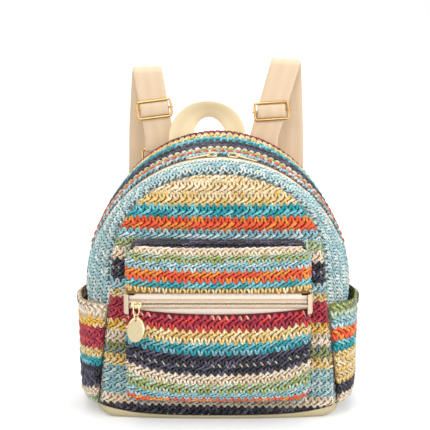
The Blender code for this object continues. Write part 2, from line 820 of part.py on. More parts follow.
def build_main_sliders() -> None:
    """Build both main sliders, nose to nose at the top, with their pulls lying flat."""
    centre = Vector((0.0, ZIP_Y, ZIP.spring_z))
    radius = ZIP.crown_z - ZIP.spring_z
    for name, degrees, nose in (("left", LEFT_SLIDER_DEG, 1.0), ("right", RIGHT_SLIDER_DEG, -1.0)):
        turn = Matrix.Translation(centre) @ Matrix.Rotation(math.radians(degrees), 4, "Y")
        pivot = add_pivot(f"main_{name}_travel", turn)
        lift = Matrix.Translation((0.0, 0.0, radius))
        add_slider(f"main_slider_{name}", pivot, lift, nose, TAPE_DROP)
        top, _ = slider_heights(TAPE_DROP)
        rim_z = radius + top + SLIDER_PLATE + BRIDGE_WINDOW_HEIGHT / 2
        rim_x = -nose * (BRIDGE_WINDOW_LENGTH / 2 - PULL_RIM / 2 - RUN_GAP)
        rest = math.radians(-PULL_REST_DEG)
        place = Matrix.Translation((rim_x, 0.0, rim_z))
        yaw = math.radians(PULL_YAW_DEG) * nose
        place = place @ Matrix.Rotation(math.pi + yaw if nose > 0 else yaw, 4, "Z")
        pull_pivot = add_pivot(f"main_pull_{name}_hinge", place, pivot)
        outline = capsule(PULL_LENGTH, PULL_WIDTH * 0.4, PULL_WIDTH / 2, -PULL_RIM / 2)
        half = PULL_EYE_WIDTH / 2
        first = PULL_RIM / 2
        eye = [(first, -half), (first + PULL_EYE_LENGTH, -half * 0.8),
               (first + PULL_EYE_LENGTH, half * 0.8), (first, half)]
        plate = flat_plate(f"main_pull_{name}", [outline, eye], PULL_THICKNESS)
        plate.transform(Matrix.Rotation(-rest, 4, "Y"))
        add_object(f"main_pull_{name}", plate, "pale_gold", pull_pivot)


def pocket_outline(inset: float, steps: int = 3) -> list:
    """Rounded outline (x, z) of the front pocket, anticlockwise from its lower left corner."""
    half = POCKET_HALF_WIDTH - inset
    low, high = POCKET_BOTTOM_Z + inset, POCKET_TOP_Z - inset
    radius = POCKET_CORNER - inset
    sides = max(2 * round((high - low - 2 * radius) / POCKET_SIDE_PITCH), 2)
    corners = [(-half + radius, low + radius, 180, POCKET_COLUMNS),
               (half - radius, low + radius, 270, sides),
               (half - radius, high - radius, 0, POCKET_COLUMNS),
               (-half + radius, high - radius, 90, sides)]
    points = []
    for index, (x, z, start, count) in enumerate(corners):
        for step in range(steps + 1):
            angle = math.radians(start + 90 * step / steps)
            points.append((x + radius * math.cos(angle), z + radius * math.sin(angle)))
        after_x, after_z, _, _ = corners[(index + 1) % 4]
        last_x, last_z = points[-1]
        for step in range(1, count):
            share = step / count
            points.append((last_x + (after_x - x) * share, last_z + (after_z - z) * share))
    return points


def pocket_half(z: float, inset: float) -> float:
    """Half width of the pocket's outline at a height, with its round corners."""
    half = POCKET_HALF_WIDTH - inset
    radius = POCKET_CORNER - inset
    low, high = POCKET_BOTTOM_Z + inset, POCKET_TOP_Z - inset
    reach = max(low + radius - z, z - (high - radius), 0.0)
    return half - radius + math.sqrt(max(radius ** 2 - reach ** 2, 0.0))


def pocket_face_y(x: float, z: float) -> float:
    """Depth of the pocket's face: it swells between the zipper and the pocket's edges."""
    edge = POCKET_TOP_Z if z > POCKET_ZIP_Z else POCKET_BOTTOM_Z
    mouth = POCKET_ZIP_Z + math.copysign(POCKET_WINDOW / 2, edge - POCKET_ZIP_Z)
    hem = math.copysign(HEM_DEPTH, edge - mouth)
    share = min(max((z - mouth - hem) / (edge - mouth - hem), 0.0), 1.0)
    width = max(1 - (x / POCKET_HALF_WIDTH) ** 2, 0.0)
    return POCKET_FACE_Y - POCKET_BULGE * math.sin(math.pi * share) * width


def build_pocket_panel(name: str, edge: float, outer: float) -> None:
    """Build one panel of the pocket's face, from the zipper's edge to the outer border."""
    way = math.copysign(1.0, outer - edge)
    lines = [edge] + row_lines(edge + way * HEM_DEPTH, outer, way * ROW_PITCH)
    grid = []
    for index, z in enumerate(lines):
        half = pocket_half(z, POCKET_ROLL)
        ridge = 0.0 if index < 2 else ridge_at(index)
        grid.append([Vector((half * (2 * column / POCKET_COLUMNS - 1),
                             pocket_face_y(half * (2 * column / POCKET_COLUMNS - 1), z) + ridge, z))
                     for column in range(POCKET_COLUMNS + 1)])
    rolled_panel(name, grid, lambda z: POCKET_FACE_Y + POCKET_ROLL, 1.0, "straw_blue",
                 POCKET_WALL, POCKET_ROLL, forward)


def build_front_pocket() -> None:
    """Build the pocket's gusset, its two face panels, its zipper and its end tabs."""
    front_y = POCKET_FACE_Y + POCKET_ROLL + SEAM_GAP
    middle = Vector((0.0, 0.0, (POCKET_BOTTOM_Z + POCKET_TOP_Z) / 2))
    outer, inner = pocket_outline(0.0), pocket_outline(POCKET_WALL)
    grid = [[], [], [], [], []]
    for (x, z), (inner_x, inner_z) in zip(outer, inner):
        body = min(front_face_y(x, z), front_face_y(inner_x, inner_z))
        back_y = body - RIDGE - 2 * SEAM_GAP
        out = (Vector((x, 0.0, z)) - Vector((inner_x, 0.0, inner_z))).normalized()
        middle_y = (front_y + back_y) / 2
        for row, y, lift in zip(grid, (front_y, front_y + RIM_STRIP, middle_y,
                                       back_y - RIM_STRIP, back_y), (0.0, 0.0, 1.0, 0.0, 0.0)):
            row.append(Vector((x, y, z)) + out * lift * RIDGE)
    add_sheet("pocket_gusset", grid, "straw_navy", POCKET_WALL,
              lambda centre: (Vector((centre.x, 0.0, centre.z)) - middle), closed=True)
    window = POCKET_WINDOW / 2
    build_pocket_panel("pocket_upper_panel", POCKET_ZIP_Z + window,
                       POCKET_TOP_Z - POCKET_ROLL - RIDGE)
    build_pocket_panel("pocket_lower_panel", POCKET_ZIP_Z - window,
                       POCKET_BOTTOM_Z + POCKET_ROLL + RIDGE)
    build_pocket_zip()


def build_pocket_zip() -> None:
    """Build the pocket zipper's tapes, coil rows and end tabs."""
    half = POCKET_HALF_WIDTH - POCKET_WALL - 2 * SEAM_GAP - RIDGE
    tape_y = POCKET_FACE_Y + POCKET_WALL + SEAM_GAP
    coil_y = tape_y - SEAM_GAP
    for name, side in (("upper", 1.0), ("lower", -1.0)):
        near = POCKET_ZIP_Z + side * COIL_SLOT / 2
        far = POCKET_ZIP_Z + side * (POCKET_WINDOW / 2 + ZIP_HEM)
        slim = POCKET_ZIP_Z + side * (POCKET_WINDOW / 2 - POCKET_WALL)
        wide = POCKET_HALF_WIDTH - POCKET_ROLL - POCKET_WALL - HEM_DEPTH
        tape = [[Vector((x, tape_y, near)), Vector((x, tape_y, edge)),
                 Vector((x, tape_y + TAPE_THICKNESS, edge)),
                 Vector((x, tape_y + TAPE_THICKNESS, near))]
                for x, edge in ((-half, slim), (-wide - HEM_DEPTH, slim), (-wide, far),
                                (wide, far), (wide + HEM_DEPTH, slim), (half, slim))]
        sweep(f"pocket_tape_{name}", tape, "zip_tape")
        outer = near + side * COIL_WIDTH
        crown = near + side * COIL_WIDTH * 0.7
        coil = [[Vector((x, coil_y, near)), Vector((x, coil_y, outer)),
                 Vector((x, coil_y - COIL_HEIGHT, crown)),
                 Vector((x, coil_y - COIL_HEIGHT, near))] for x in (-half, half)]
        sweep(f"pocket_coil_{name}", coil, "coil")
    build_pocket_tabs()


def build_pocket_tabs() -> None:
    """Build the tabs that wrap the pocket's corner over the zipper's two ends."""
    lift = SEAM_GAP + RIDGE
    for name, side in (("left", -1.0), ("right", 1.0)):
        grid = []
        for level in (-0.5, 0.5):
            z = POCKET_ZIP_Z + level * POCKET_TAB_HEIGHT
            row = []
            reach = POCKET_ROLL + lift
            for step in range(5):
                first = POCKET_TAB_START_DEG
                angle = math.radians(first + (90 - first) * step / 4)
                row.append(Vector((side * (POCKET_HALF_WIDTH - POCKET_ROLL
                                           + reach * math.sin(angle)),
                                   POCKET_FACE_Y + POCKET_ROLL - reach * math.cos(angle), z)))
            row.append(row[-1] + Vector((0.0, POCKET_TAB_LAP, 0.0)))
            grid.append(row)
        add_sheet(f"pocket_tab_{name}", grid, "base_cloth", POCKET_TAB_THICKNESS,
                  lambda centre: Vector((centre.x, 0.0, 0.0)), offset=1.0)


def stadium(width: float, height: float, steps: int = 4) -> list:
    """Closed loop (across, up) with round ends, centred on its own middle."""
    radius = width / 2
    straight = (height - width) / 2
    points = []
    for start, middle in ((0, straight), (180, -straight)):
        for step in range(steps + 1):
            angle = math.radians(start + 180 * step / steps)
            points.append((radius * math.cos(angle), middle + radius * math.sin(angle)))
    return points


def build_pocket_pull() -> None:
    """Build the pocket slider and the link, ring and disc that hang from its bridge."""
    tape_drop = POCKET_WALL + SEAM_GAP
    face = Matrix.Translation((POCKET_SLIDER_X, POCKET_FACE_Y, POCKET_ZIP_Z))
    out = face @ Matrix.Rotation(math.pi / 2, 4, "X")
    travel = add_pivot("pocket_zip_travel", out)
    add_slider("pocket_slider", travel, Matrix.Identity(4), -1.0, tape_drop)
    top, _ = slider_heights(tape_drop)
    bar_z = top + SLIDER_PLATE + BRIDGE_WINDOW_HEIGHT + BRIDGE_BAR / 2
    hang = Matrix.Translation((0.0, 0.0, bar_z)) @ Matrix.Rotation(
        math.radians(-90 - CHAIN_TILT_DEG), 4, "X")
    link_pivot = add_pivot("link_swing", hang, travel)
    link_yaw, ring_yaw, disc_yaw = (Matrix.Rotation(math.radians(degrees), 4, "Z")
                                    for degrees in (LINK_YAW_DEG, RING_YAW_DEG, DISC_YAW_DEG))

    # Link: its upper arc hangs on the bridge bar
    link_drop = LINK_LENGTH / 2 - LINK_WIRE - BRIDGE_BAR * 0.75 - RUN_GAP
    loop = [Vector((across, 0.0, up - link_drop))
            for across, up in stadium(LINK_WIDTH - LINK_WIRE, LINK_LENGTH - LINK_WIRE)]
    mesh = wire_mesh("pull_link", [link_yaw @ point for point in loop], LINK_WIRE, True)
    add_object("pull_link", mesh, "pale_gold", link_pivot)

    # Ring: it hangs in the link's lower arc, square to the link
    low_wire = -link_drop - LINK_LENGTH / 2 + LINK_WIRE / 2
    ring_pivot = add_pivot("ring_swing", Matrix.Translation((0.0, 0.0, low_wire)), link_pivot)
    ring_radius = (RING_DIAMETER - RING_WIRE) / 2
    ring_drop = ring_radius - RING_WIRE / 2 - LINK_WIRE / 2 - RUN_GAP
    circle = [Vector((ring_radius * math.cos(math.radians(30 * step)), 0.0,
                      ring_radius * math.sin(math.radians(30 * step)) - ring_drop))
              for step in range(12)]
    mesh = wire_mesh("pull_ring", [ring_yaw @ point for point in circle], RING_WIRE, True)
    add_object("pull_ring", mesh, "pale_gold", ring_pivot)

    # Disc: its hole hangs on the ring's lower arc
    low_ring = -ring_drop - ring_radius
    disc_pivot = add_pivot("disc_swing", Matrix.Translation((0.0, 0.0, low_ring)), ring_pivot)
    hole_drop = DISC_HOLE / 2 - RING_WIRE / 2 - RUN_GAP
    centre_drop = hole_drop + DISC_DIAMETER / 2 - DISC_HOLE_INSET
    outline = [(DISC_DIAMETER / 2 * math.cos(math.radians(15 * step)),
                DISC_DIAMETER / 2 * math.sin(math.radians(15 * step))) for step in range(24)]
    hole = [(DISC_HOLE / 2 * math.cos(math.radians(45 * step)),
             DISC_DIAMETER / 2 - DISC_HOLE_INSET + DISC_HOLE / 2 * math.sin(math.radians(45 * step)))
            for step in range(8)]
    disc = flat_plate("pull_disc", [outline, hole], DISC_THICKNESS)
    disc.transform(disc_yaw @ Matrix.Translation((0.0, 0.0, -centre_drop))
                   @ Matrix.Rotation(math.pi / 2, 4, "X"))
    add_object("pull_disc", disc, "pale_gold", disc_pivot)


@dataclass(frozen=True)
class Strap:
    """One shoulder strap: where its front leg stands, and how its frame sits."""

    name: str
    foot_x: float
    top_x: float
    top_z: float
    frame_z: float
    frame_tilt_deg: float
    rear_x: float
    lower_x: float


STRAPS = (Strap("left", -0.0600, -0.0726, 0.3292, 0.2862, -7.3, -0.0775, -0.0900),
          Strap("right", 0.0472, 0.0700, 0.3372, 0.2842, -3.8, 0.0740, 0.0900))
WRAP = RING_BAR / 2 + SEAM_GAP + WEB_THICKNESS / 2
BAR_WRAP = BAR_WIRE / 2 + SEAM_GAP + WEB_THICKNESS / 2
STRAP_FOOT_Z = 0.2560


def strap_lean(strap: Strap) -> float:
    """Sideways run of the strap's straight front leg for each metre up."""
    return (strap.top_x - strap.foot_x) / (strap.top_z - STRAP_FOOT_Z)


def tab_y(x: float, z: float, width: float = WEB_WIDTH) -> float:
    """Depth of a webbing layer that lies on the back panel."""
    inner = max(abs(x) - width / 2, 0.0)
    return back_face_y(inner, z) + RIDGE + SEAM_GAP + WEB_THICKNESS / 2


def ring_y(strap: Strap) -> float:
    """Depth of the strap ring's bars, so that the adjuster slides down behind the handle."""
    handle_y = tab_y(HANDLE_MIDDLE_X, HANDLE_FOOT_Z)
    reach = FRAME_WIRE + 2 * SEAM_GAP + BAR_WIRE + FRAME_WIRE / 2
    return handle_y + reach + WEB_THICKNESS + SEAM_GAP + WRAP


def leg_y(strap: Strap) -> float:
    """Depth of the strap's front leg."""
    return ring_y(strap) - WRAP


def add_webbing(name: str, path: list, width, slants: list = None) -> bpy.types.Object:
    """Add a flat strip along a path.

    width is one size or a size for each point, and slants give the strip's directions
    across where it isn't along X.
    """
    grid = []
    widths = width if isinstance(width, list) else [width] * len(path)
    for index, point in enumerate(path):
        across = slants[index] if slants else Vector((1.0, 0.0, 0.0))
        half = across * widths[index] / 2
        grid.append([point - half, point + half])
    mesh = mesh_of(name, [point for row in grid for point in row], grid_faces(len(grid), 2))
    piece = add_object(name, mesh, "webbing")
    thicken(piece, WEB_THICKNESS, 0.0)
    return piece


def smooth_path(knots: list, steps: int) -> list:
    """Points on a smooth curve through knots."""
    path = []
    for index in range(len(knots) - 1):
        before = knots[max(index - 1, 0)]
        start, end = knots[index], knots[index + 1]
        after = knots[min(index + 2, len(knots) - 1)]
        for step in range(steps):
            t = step / steps
            path.append(0.5 * (2 * start + (end - before) * t
                               + (2 * before - 5 * start + 4 * end - after) * t ** 2
                               + (3 * start - before - 3 * end + after) * t ** 3))
    path.append(knots[-1])
    return path


def build_strap(strap: Strap) -> None:
    """Build one strap with its ring, tabs, adjuster and return layer."""
    side = math.copysign(1.0, strap.foot_x)
    lean = strap_lean(strap)
    ring_top = STRAP_RING_Z + RING_BAR_SPACING
    y_ring, y_leg = ring_y(strap), leg_y(strap)

    # Top tab: webbing sewn to the back and folded round the ring's lower bar
    path = [Vector((strap.foot_x, tab_y(strap.foot_x, STRAP_RING_Z - TAB_DROP),
                    STRAP_RING_Z - TAB_DROP))]
    for step in range(7):
        angle = math.pi * step / 6
        path.append(Vector((strap.foot_x, y_ring - WRAP * math.cos(angle),
                            STRAP_RING_Z + WRAP * math.sin(angle))))
    path.append(Vector((strap.foot_x, y_ring + WRAP, STRAP_RING_Z - TAB_DROP * 0.6)))
    add_webbing(f"strap_top_tab_{strap.name}", path, WEB_WIDTH - 2 * SEAM_GAP)

    # Ring: a rectangle of wire
    bend = RING_BAR * 0.75
    half = WEB_WIDTH / 2 + SEAM_GAP + bend
    corners = [(half, ring_top, 0), (-half, ring_top, 90), (-half, STRAP_RING_Z, 180),
               (half, STRAP_RING_Z, 270)]
    loop = []
    for x, z, start in corners:
        inner_x = x - math.copysign(bend, x)
        inner_z = z - bend if z == ring_top else z + bend
        for step in range(3):
            angle = math.radians(start + 45 * step)
            loop.append(Vector((strap.foot_x + inner_x + bend * math.cos(angle), y_ring,
                                inner_z + bend * math.sin(angle))))
    add_object(f"strap_ring_{strap.name}",
               wire_mesh("ring", loop, RING_BAR, True), "pale_gold")

    # Main webbing: under the ring's upper bar, up the front leg, over the loop, down the back
    path = [Vector((strap.foot_x, y_ring + WRAP, RETURN_FOOT_Z))]
    for step in range(7):
        angle = math.pi * step / 6
        path.append(Vector((strap.foot_x, y_ring + WRAP * math.cos(angle),
                            ring_top - WRAP * math.sin(angle))))
    path.append(Vector((strap.foot_x, y_leg, RETURN_FOOT_Z)))
    path.append(Vector((strap.foot_x, y_leg, STRAP_FOOT_Z)))
    radius = LOOP_DEPTH / 2
    turn_z = strap.top_z - radius
    for step in range(7):
        angle = math.pi * step / 6
        rise = radius * math.sin(angle)
        path.append(Vector((strap.foot_x + lean * (turn_z + rise - STRAP_FOOT_Z),
                            y_leg + radius - radius * math.cos(angle), turn_z + rise)))
    rear_y = y_leg + LOOP_DEPTH
    low_y = lower_seat(strap)
    knots = [path[-1], Vector((strap.rear_x, rear_y + 0.004, 0.262)),
             Vector((strap.rear_x + side * 0.001, rear_y + 0.006, 0.220)),
             Vector((strap.rear_x + side * 0.005, rear_y + 0.004, 0.150)),
             Vector((strap.lower_x - side * 0.002, rear_y - 0.003, 0.090)),
             Vector((strap.lower_x, low_y + 0.003, 0.052)),
             Vector((strap.lower_x, low_y, 0.038)), Vector((strap.lower_x, low_y, 0.020))]
    path += smooth_path(knots, 3)[1:]
    add_webbing(f"strap_{strap.name}", path, WEB_WIDTH)

    # Lower tab: a patch with a slanted top edge at the back's lower corner
    low_z, high_z = BACK.foot_z + 0.004, 0.050
    face = low_y - WEB_THICKNESS / 2 - SEAM_GAP
    outline = [(-WEB_WIDTH * 0.62, low_z), (WEB_WIDTH * 0.5, low_z),
               (WEB_WIDTH * 0.5, high_z), (WEB_WIDTH * 0.1, high_z)]
    mirrored = [(strap.lower_x + side * x, z) for x, z in outline]
    if side < 0:
        mirrored.reverse()
    patch = prism(f"strap_lower_tab_{strap.name}", mirrored, face - LOWER_TAB_THICKNESS, face, "xz")
    add_object(patch.name, patch, "webbing")
    build_adjuster(strap, lean, y_leg, y_ring)


def lower_seat(strap: Strap) -> float:
    """Depth of the webbing layer that is sewn on the lower tab."""
    inner = abs(strap.lower_x) - WEB_WIDTH * 0.62
    return (back_face_y(inner, BACK.foot_z + 0.02) + RIDGE + 2 * SEAM_GAP + LOWER_TAB_THICKNESS
            + WEB_THICKNESS / 2)


def build_adjuster(strap: Strap, lean: float, y_leg: float, y_ring: float) -> None:
    """Build the sliding frame in front of the strap, its bar behind and the return layer."""
    x = strap.foot_x + lean * (strap.frame_z - STRAP_FOOT_Z)
    frame_y = y_leg - WEB_THICKNESS / 2 - SEAM_GAP - FRAME_WIRE / 2
    bar_y = y_leg + WEB_THICKNESS / 2 + SEAM_GAP + WEB_THICKNESS / 2 + BAR_WRAP
    tilt = Matrix.Rotation(math.radians(strap.frame_tilt_deg), 4, "Y")
    pivot = add_pivot(f"adjuster_{strap.name}_slide",
                      Matrix.Translation((x, y_leg, strap.frame_z)) @ tilt)

    # Frame: two straight bars joined by bowed ends
    half_z = (FRAME_HEIGHT - FRAME_WIRE) / 2
    loop = []
    for sign in (1.0, -1.0):
        for step in range(7):
            angle = math.pi / 2 - math.pi * step / 6
            bow = FRAME_END_BOW * math.cos(angle) ** 0.5 if math.cos(angle) > 0.01 else 0.0
            loop.append(Vector((sign * (FRAME_HALF_WIDTH + bow), frame_y - y_leg,
                                sign * half_z * math.sin(angle))))
    add_object(f"adjuster_frame_{strap.name}", wire_mesh("frame", loop, FRAME_WIRE, True),
               "pale_gold", pivot)

    # Bar: it runs behind the webbing and its ends curl round the frame's bowed ends
    eye_x = FRAME_HALF_WIDTH + FRAME_END_BOW
    curl = FRAME_WIRE / 2 + SEAM_GAP + BAR_WIRE / 2
    wire = []
    for sign in (-1.0, 1.0):
        hook = []
        for step in range(7):
            angle = math.radians(120 - 45 * step)
            hook.append(Vector((sign * (eye_x + curl * math.cos(angle)),
                                frame_y - y_leg + curl * math.sin(angle), 0.0)))
        start = Vector((sign * (WEB_WIDTH / 2 + 0.0004), bar_y - y_leg, 0.0))
        arm = [start] + hook
        wire += arm[::-1] if sign < 0 else arm
    add_object(f"adjuster_bar_{strap.name}", wire_mesh("bar", wire, BAR_WIRE, False),
               "pale_gold", pivot)

    # Return layer: sewn round the bar, then down to the strap's end at the ring
    path, slants = [], []
    place = Matrix.Translation((x, 0.0, strap.frame_z)) @ tilt
    across = tilt.to_3x3() @ Vector((1.0, 0.0, 0.0))
    steps = [Vector((0.0, bar_y - BAR_WRAP, -0.009))]
    for step in range(7):
        angle = math.pi * step / 6
        steps.append(Vector((0.0, bar_y - BAR_WRAP * math.cos(angle),
                             BAR_WRAP * math.sin(angle))))
    for point in steps:
        path.append(place @ point)
        slants.append(across)
    for z in (RETURN_FOOT_Z + 0.008, RETURN_FOOT_Z + SEAM_GAP):
        path.append(Vector((strap.foot_x + lean * (z - STRAP_FOOT_Z), y_ring + WRAP, z)))
        slants.append(Vector((1.0, 0.0, 0.0)))
    add_webbing(f"strap_return_{strap.name}", path, WEB_WIDTH - 4 * SEAM_GAP, slants=slants)


def build_handle() -> None:
    """Build the carry loop, a flared band whose outer edge leans forward at the top."""
    path, slants, widths = [], [], []
    steps = 14
    stand_y = tab_y(HANDLE_MIDDLE_X, HANDLE_FOOT_Z)
    for step in range(-2, steps + 3):
        turn = min(max(step, 0), steps)
        angle = math.pi * turn / steps
        x = HANDLE_MIDDLE_X - HANDLE_HALF_SPAN * math.cos(angle)
        z = HANDLE_SPRING_Z + (HANDLE_TOP_Z - HANDLE_SPRING_Z) * math.sin(angle)
        z -= (HANDLE_SPRING_Z - HANDLE_FOOT_Z) / 2 * abs(step - turn)
        lean = math.radians(HANDLE_TILT_DEG) * math.sin(angle) ** 2
        inward = Vector((math.cos(angle), 0.0, -math.sin(angle)))
        path.append(Vector((x, stand_y, z)))
        slants.append((inward * math.cos(lean) + Vector((0.0, math.sin(lean), 0.0))).normalized())
        widths.append(HANDLE_LEFT_WIDTH
                      + (HANDLE_RIGHT_WIDTH - HANDLE_LEFT_WIDTH) * turn / steps)
    add_webbing("handle", path, widths, slants=slants)


clear_scene()
PARTS = new_collection("straw_backpack")
CUTTERS = new_collection("cutters")
build_panels()
build_gussets()
build_base()
build_side_pocket("side_pocket_left", -1.0)
build_side_pocket("side_pocket_right", 1.0)
build_main_zip()
build_main_sliders()
build_front_pocket()
build_pocket_pull()
for strap_side in STRAPS:
    build_strap(strap_side)
build_handle()
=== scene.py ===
"""Looks of a small backpack of striped crocheted straw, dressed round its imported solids.

Metres, +Z up, the front faces -Y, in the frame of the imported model.
"""
import logging
import math
from collections.abc import Callable, Iterable, Sequence
from dataclasses import dataclass, replace
from enum import Enum
from typing import ClassVar

import bmesh
import bpy
import numpy as np
from mathutils import Matrix, Vector


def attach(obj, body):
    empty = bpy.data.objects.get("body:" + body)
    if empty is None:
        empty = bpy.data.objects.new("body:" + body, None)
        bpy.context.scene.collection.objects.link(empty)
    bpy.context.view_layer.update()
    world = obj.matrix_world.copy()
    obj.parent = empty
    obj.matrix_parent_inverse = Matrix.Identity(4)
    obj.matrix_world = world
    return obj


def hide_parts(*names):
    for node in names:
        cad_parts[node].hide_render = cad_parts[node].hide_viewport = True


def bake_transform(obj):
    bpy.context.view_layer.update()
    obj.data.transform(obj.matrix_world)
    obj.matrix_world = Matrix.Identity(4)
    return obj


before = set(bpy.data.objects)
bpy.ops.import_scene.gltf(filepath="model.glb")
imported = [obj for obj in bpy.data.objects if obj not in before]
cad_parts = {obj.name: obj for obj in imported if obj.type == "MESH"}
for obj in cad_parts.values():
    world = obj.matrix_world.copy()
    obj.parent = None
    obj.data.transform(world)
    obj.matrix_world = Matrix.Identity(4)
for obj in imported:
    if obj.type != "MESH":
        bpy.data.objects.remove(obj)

LOG = logging.getLogger("straw_backpack")
DATUM_Y = 0.0008
SEAM_GAP = 0.0003
FINE_WELD = 0.0000001
RIGHT = Vector((1.0, 0.0, 0.0))
FORWARD = Vector((0.0, -1.0, 0.0))
BACKWARD = Vector((0.0, 1.0, 0.0))

Colour = tuple[float, float, float]
Place = tuple[Vector, Vector, Vector]


def srgb(red: int, green: int, blue: int) -> Colour:
    """Turn a colour of 0 to 255 steps into the linear values that shaders use."""
    steps = (step / 255 for step in (red, green, blue))
    return tuple(s / 12.92 if s <= 0.04045 else ((s + 0.055) / 1.055) ** 2.4 for s in steps)


def operator(name: str, reflected: bool = False) -> Callable[["Value", "Value | float"], "Value"]:
    """Make an operator of Value.

    Args:
        name: The Math node's operation.
        reflected: Whether the other number comes first.

    Returns:
        The operator.
    """
    def apply(self: "Value", other: "Value | float") -> "Value":
        """Add the Math node and return its result."""
        return self.maths(name, *((other, self) if reflected else (self, other)))

    return apply


class Value:
    """A value socket that takes part in arithmetic."""

    def __init__(self, tree: "Tree", socket: bpy.types.NodeSocket) -> None:
        """Wrap a socket of a tree."""
        self.tree = tree
        self.socket = socket

    def maths(self, operation: str, *values: "Value | float") -> "Value":
        """Add a Math node of an operation and return its result."""
        return self.tree.value("ShaderNodeMath", dict(enumerate(values)), operation=operation)

    __add__, __radd__ = operator("ADD"), operator("ADD", True)
    __sub__, __rsub__ = operator("SUBTRACT"), operator("SUBTRACT", True)
    __mul__, __rmul__ = operator("MULTIPLY"), operator("MULTIPLY", True)
    __truediv__ = operator("DIVIDE")
    below, above = operator("LESS_THAN"), operator("GREATER_THAN")

    def wave(self, length: float) -> "Value":
        """Return a sine that repeats over a length of the value, moved to 0 to 1."""
        return self.maths("SINE", self * (2 * math.pi / length)) * 0.5 + 0.5


class Tree:
    """A node tree, with the one way in which nodes are added to it."""

    def __init__(self, nodes: bpy.types.NodeTree) -> None:
        """Wrap a node tree."""
        self.nodes = nodes

    @staticmethod
    def group(name: str, inputs: dict[str, str], output: str) -> tuple["Tree", dict[str, Value]]:
        """Make a Geometry Nodes tree.

        Args:
            name: Its name.
            inputs: The kind of each of its inputs, by name.
            output: Name of the geometry that it gives.

        Returns:
            The tree and its inputs.
        """
        nodes = bpy.data.node_groups.new(name, "GeometryNodeTree")
        for socket, kind in inputs.items():
            nodes.interface.new_socket(socket, in_out="INPUT", socket_type=f"NodeSocket{kind}")
        nodes.interface.new_socket(output, in_out="OUTPUT", socket_type="NodeSocketGeometry")
        tree = Tree(nodes)
        given = tree.add("NodeGroupInput").outputs
        return tree, {socket: Value(tree, given[socket]) for socket in inputs}

    def add(self, kind: str, inputs: dict | None = None, **settings: object) -> bpy.types.Node:
        """Add a node.

        Args:
            kind: The node's type.
            inputs: Values or links of its sockets, by name or number.
            **settings: Its settings, which are set first. A ramp's stops go under stops.

        Returns:
            The node.
        """
        node = self.nodes.nodes.new(kind)
        for index, (position, colour) in enumerate(settings.pop("stops", ())):
            element = node.color_ramp.elements[index]
            element.position, element.color = position, (*colour, 1.0)
        for key, value in settings.items():
            setattr(node, key, value)
        for key, value in (inputs or {}).items():
            if isinstance(value, Value):
                self.nodes.links.new(value.socket, node.inputs[key])
            else:
                node.inputs[key].default_value = value
        return node

    def value(self, kind: str, inputs: dict | None = None, output: str | int = 0,
              **settings: object) -> Value:
        """Add a node and return one of its outputs as a value."""
        return Value(self, self.add(kind, inputs, **settings).outputs[output])

    def geometry(self, kind: str, inputs: dict | None = None, output: str | int = 0,
                 **settings: object) -> Value:
        """Add a geometry node and return one of its outputs as a value."""
        return self.value(f"GeometryNode{kind}", inputs, output, **settings)

    def link(self, value: Value, socket: bpy.types.NodeSocket) -> None:
        """Link a value to a socket."""
        self.nodes.links.new(value.socket, socket)

    def split(self, vector: Value) -> list[Value]:
        """Return a vector's three values."""
        node = self.add("ShaderNodeSeparateXYZ", {0: vector})
        return [Value(self, output) for output in node.outputs]

    def combine(self, **axes: Value | float) -> Value:
        """Return the vector of some values, each named by its axis."""
        return self.value("ShaderNodeCombineXYZ", axes)

    def vector(self, operation: str, *values: object, output: int = 0) -> Value:
        """Add a Vector Math node of an operation and return its result."""
        return self.value("ShaderNodeVectorMath", dict(enumerate(values)), output,
                          operation=operation)

    def scaled(self, vector: Value, scale: Value) -> Value:
        """Return a vector times a number."""
        return self.value("ShaderNodeVectorMath", {0: vector, "Scale": scale}, operation="SCALE")

    def mix(self, factor: Value | float, low: object, high: object, blend: str = "MIX") -> Value:
        """Return the mix of two colours."""
        return self.value("ShaderNodeMix", {"Factor": factor, "A": low, "B": high}, "Result",
                          data_type="RGBA", blend_type=blend)

    def noise(self, scale: float, detail: float = 2.0, place: Value | None = None) -> Value:
        """Return a noise at a place, or else on Object coordinates."""
        place = place or self.object_place()
        return self.value("ShaderNodeTexNoise", {"Vector": place, "Scale": scale, "Detail": detail})

    def object_place(self) -> Value:
        """Return the Object coordinates."""
        return self.value("ShaderNodeTexCoord", None, "Object")

    def mapped(self, value: Value, low: float, high: float) -> Value:
        """Return a value that goes from low to high as 0 to 1."""
        return self.value("ShaderNodeMapRange",
                          {"Value": value, "From Min": low, "From Max": high})

    def random(self, low: Value | float, high: Value | float, seed: Value) -> Value:
        """Return a random number for each point, by a fixed seed."""
        return self.value("FunctionNodeRandomValue", {2: low, 3: high, "Seed": seed}, 1,
                          data_type="FLOAT")

    def named(self, name: str) -> Value:
        """Return the vector that a geometry keeps under a name."""
        return self.geometry("InputNamedAttribute", {"Name": name}, data_type="FLOAT_VECTOR")

    def keep(self, geometry: Value, name: str, value: Value, domain: str = "POINT") -> Value:
        """Keep a number on a geometry under a name.

        Args:
            geometry: The geometry.
            name: Name of the attribute.
            value: The number.
            domain: What has the number.

        Returns:
            The geometry with the attribute.
        """
        return self.geometry("StoreNamedAttribute",
                             {"Geometry": geometry, "Name": name, "Value": value},
                             data_type="FLOAT", domain=domain)

    def join(self, first: Value, second: Value) -> Value:
        """Join two geometries."""
        both = self.geometry("JoinGeometry", {"Geometry": first})
        self.link(second, both.socket.node.inputs["Geometry"])
        return both


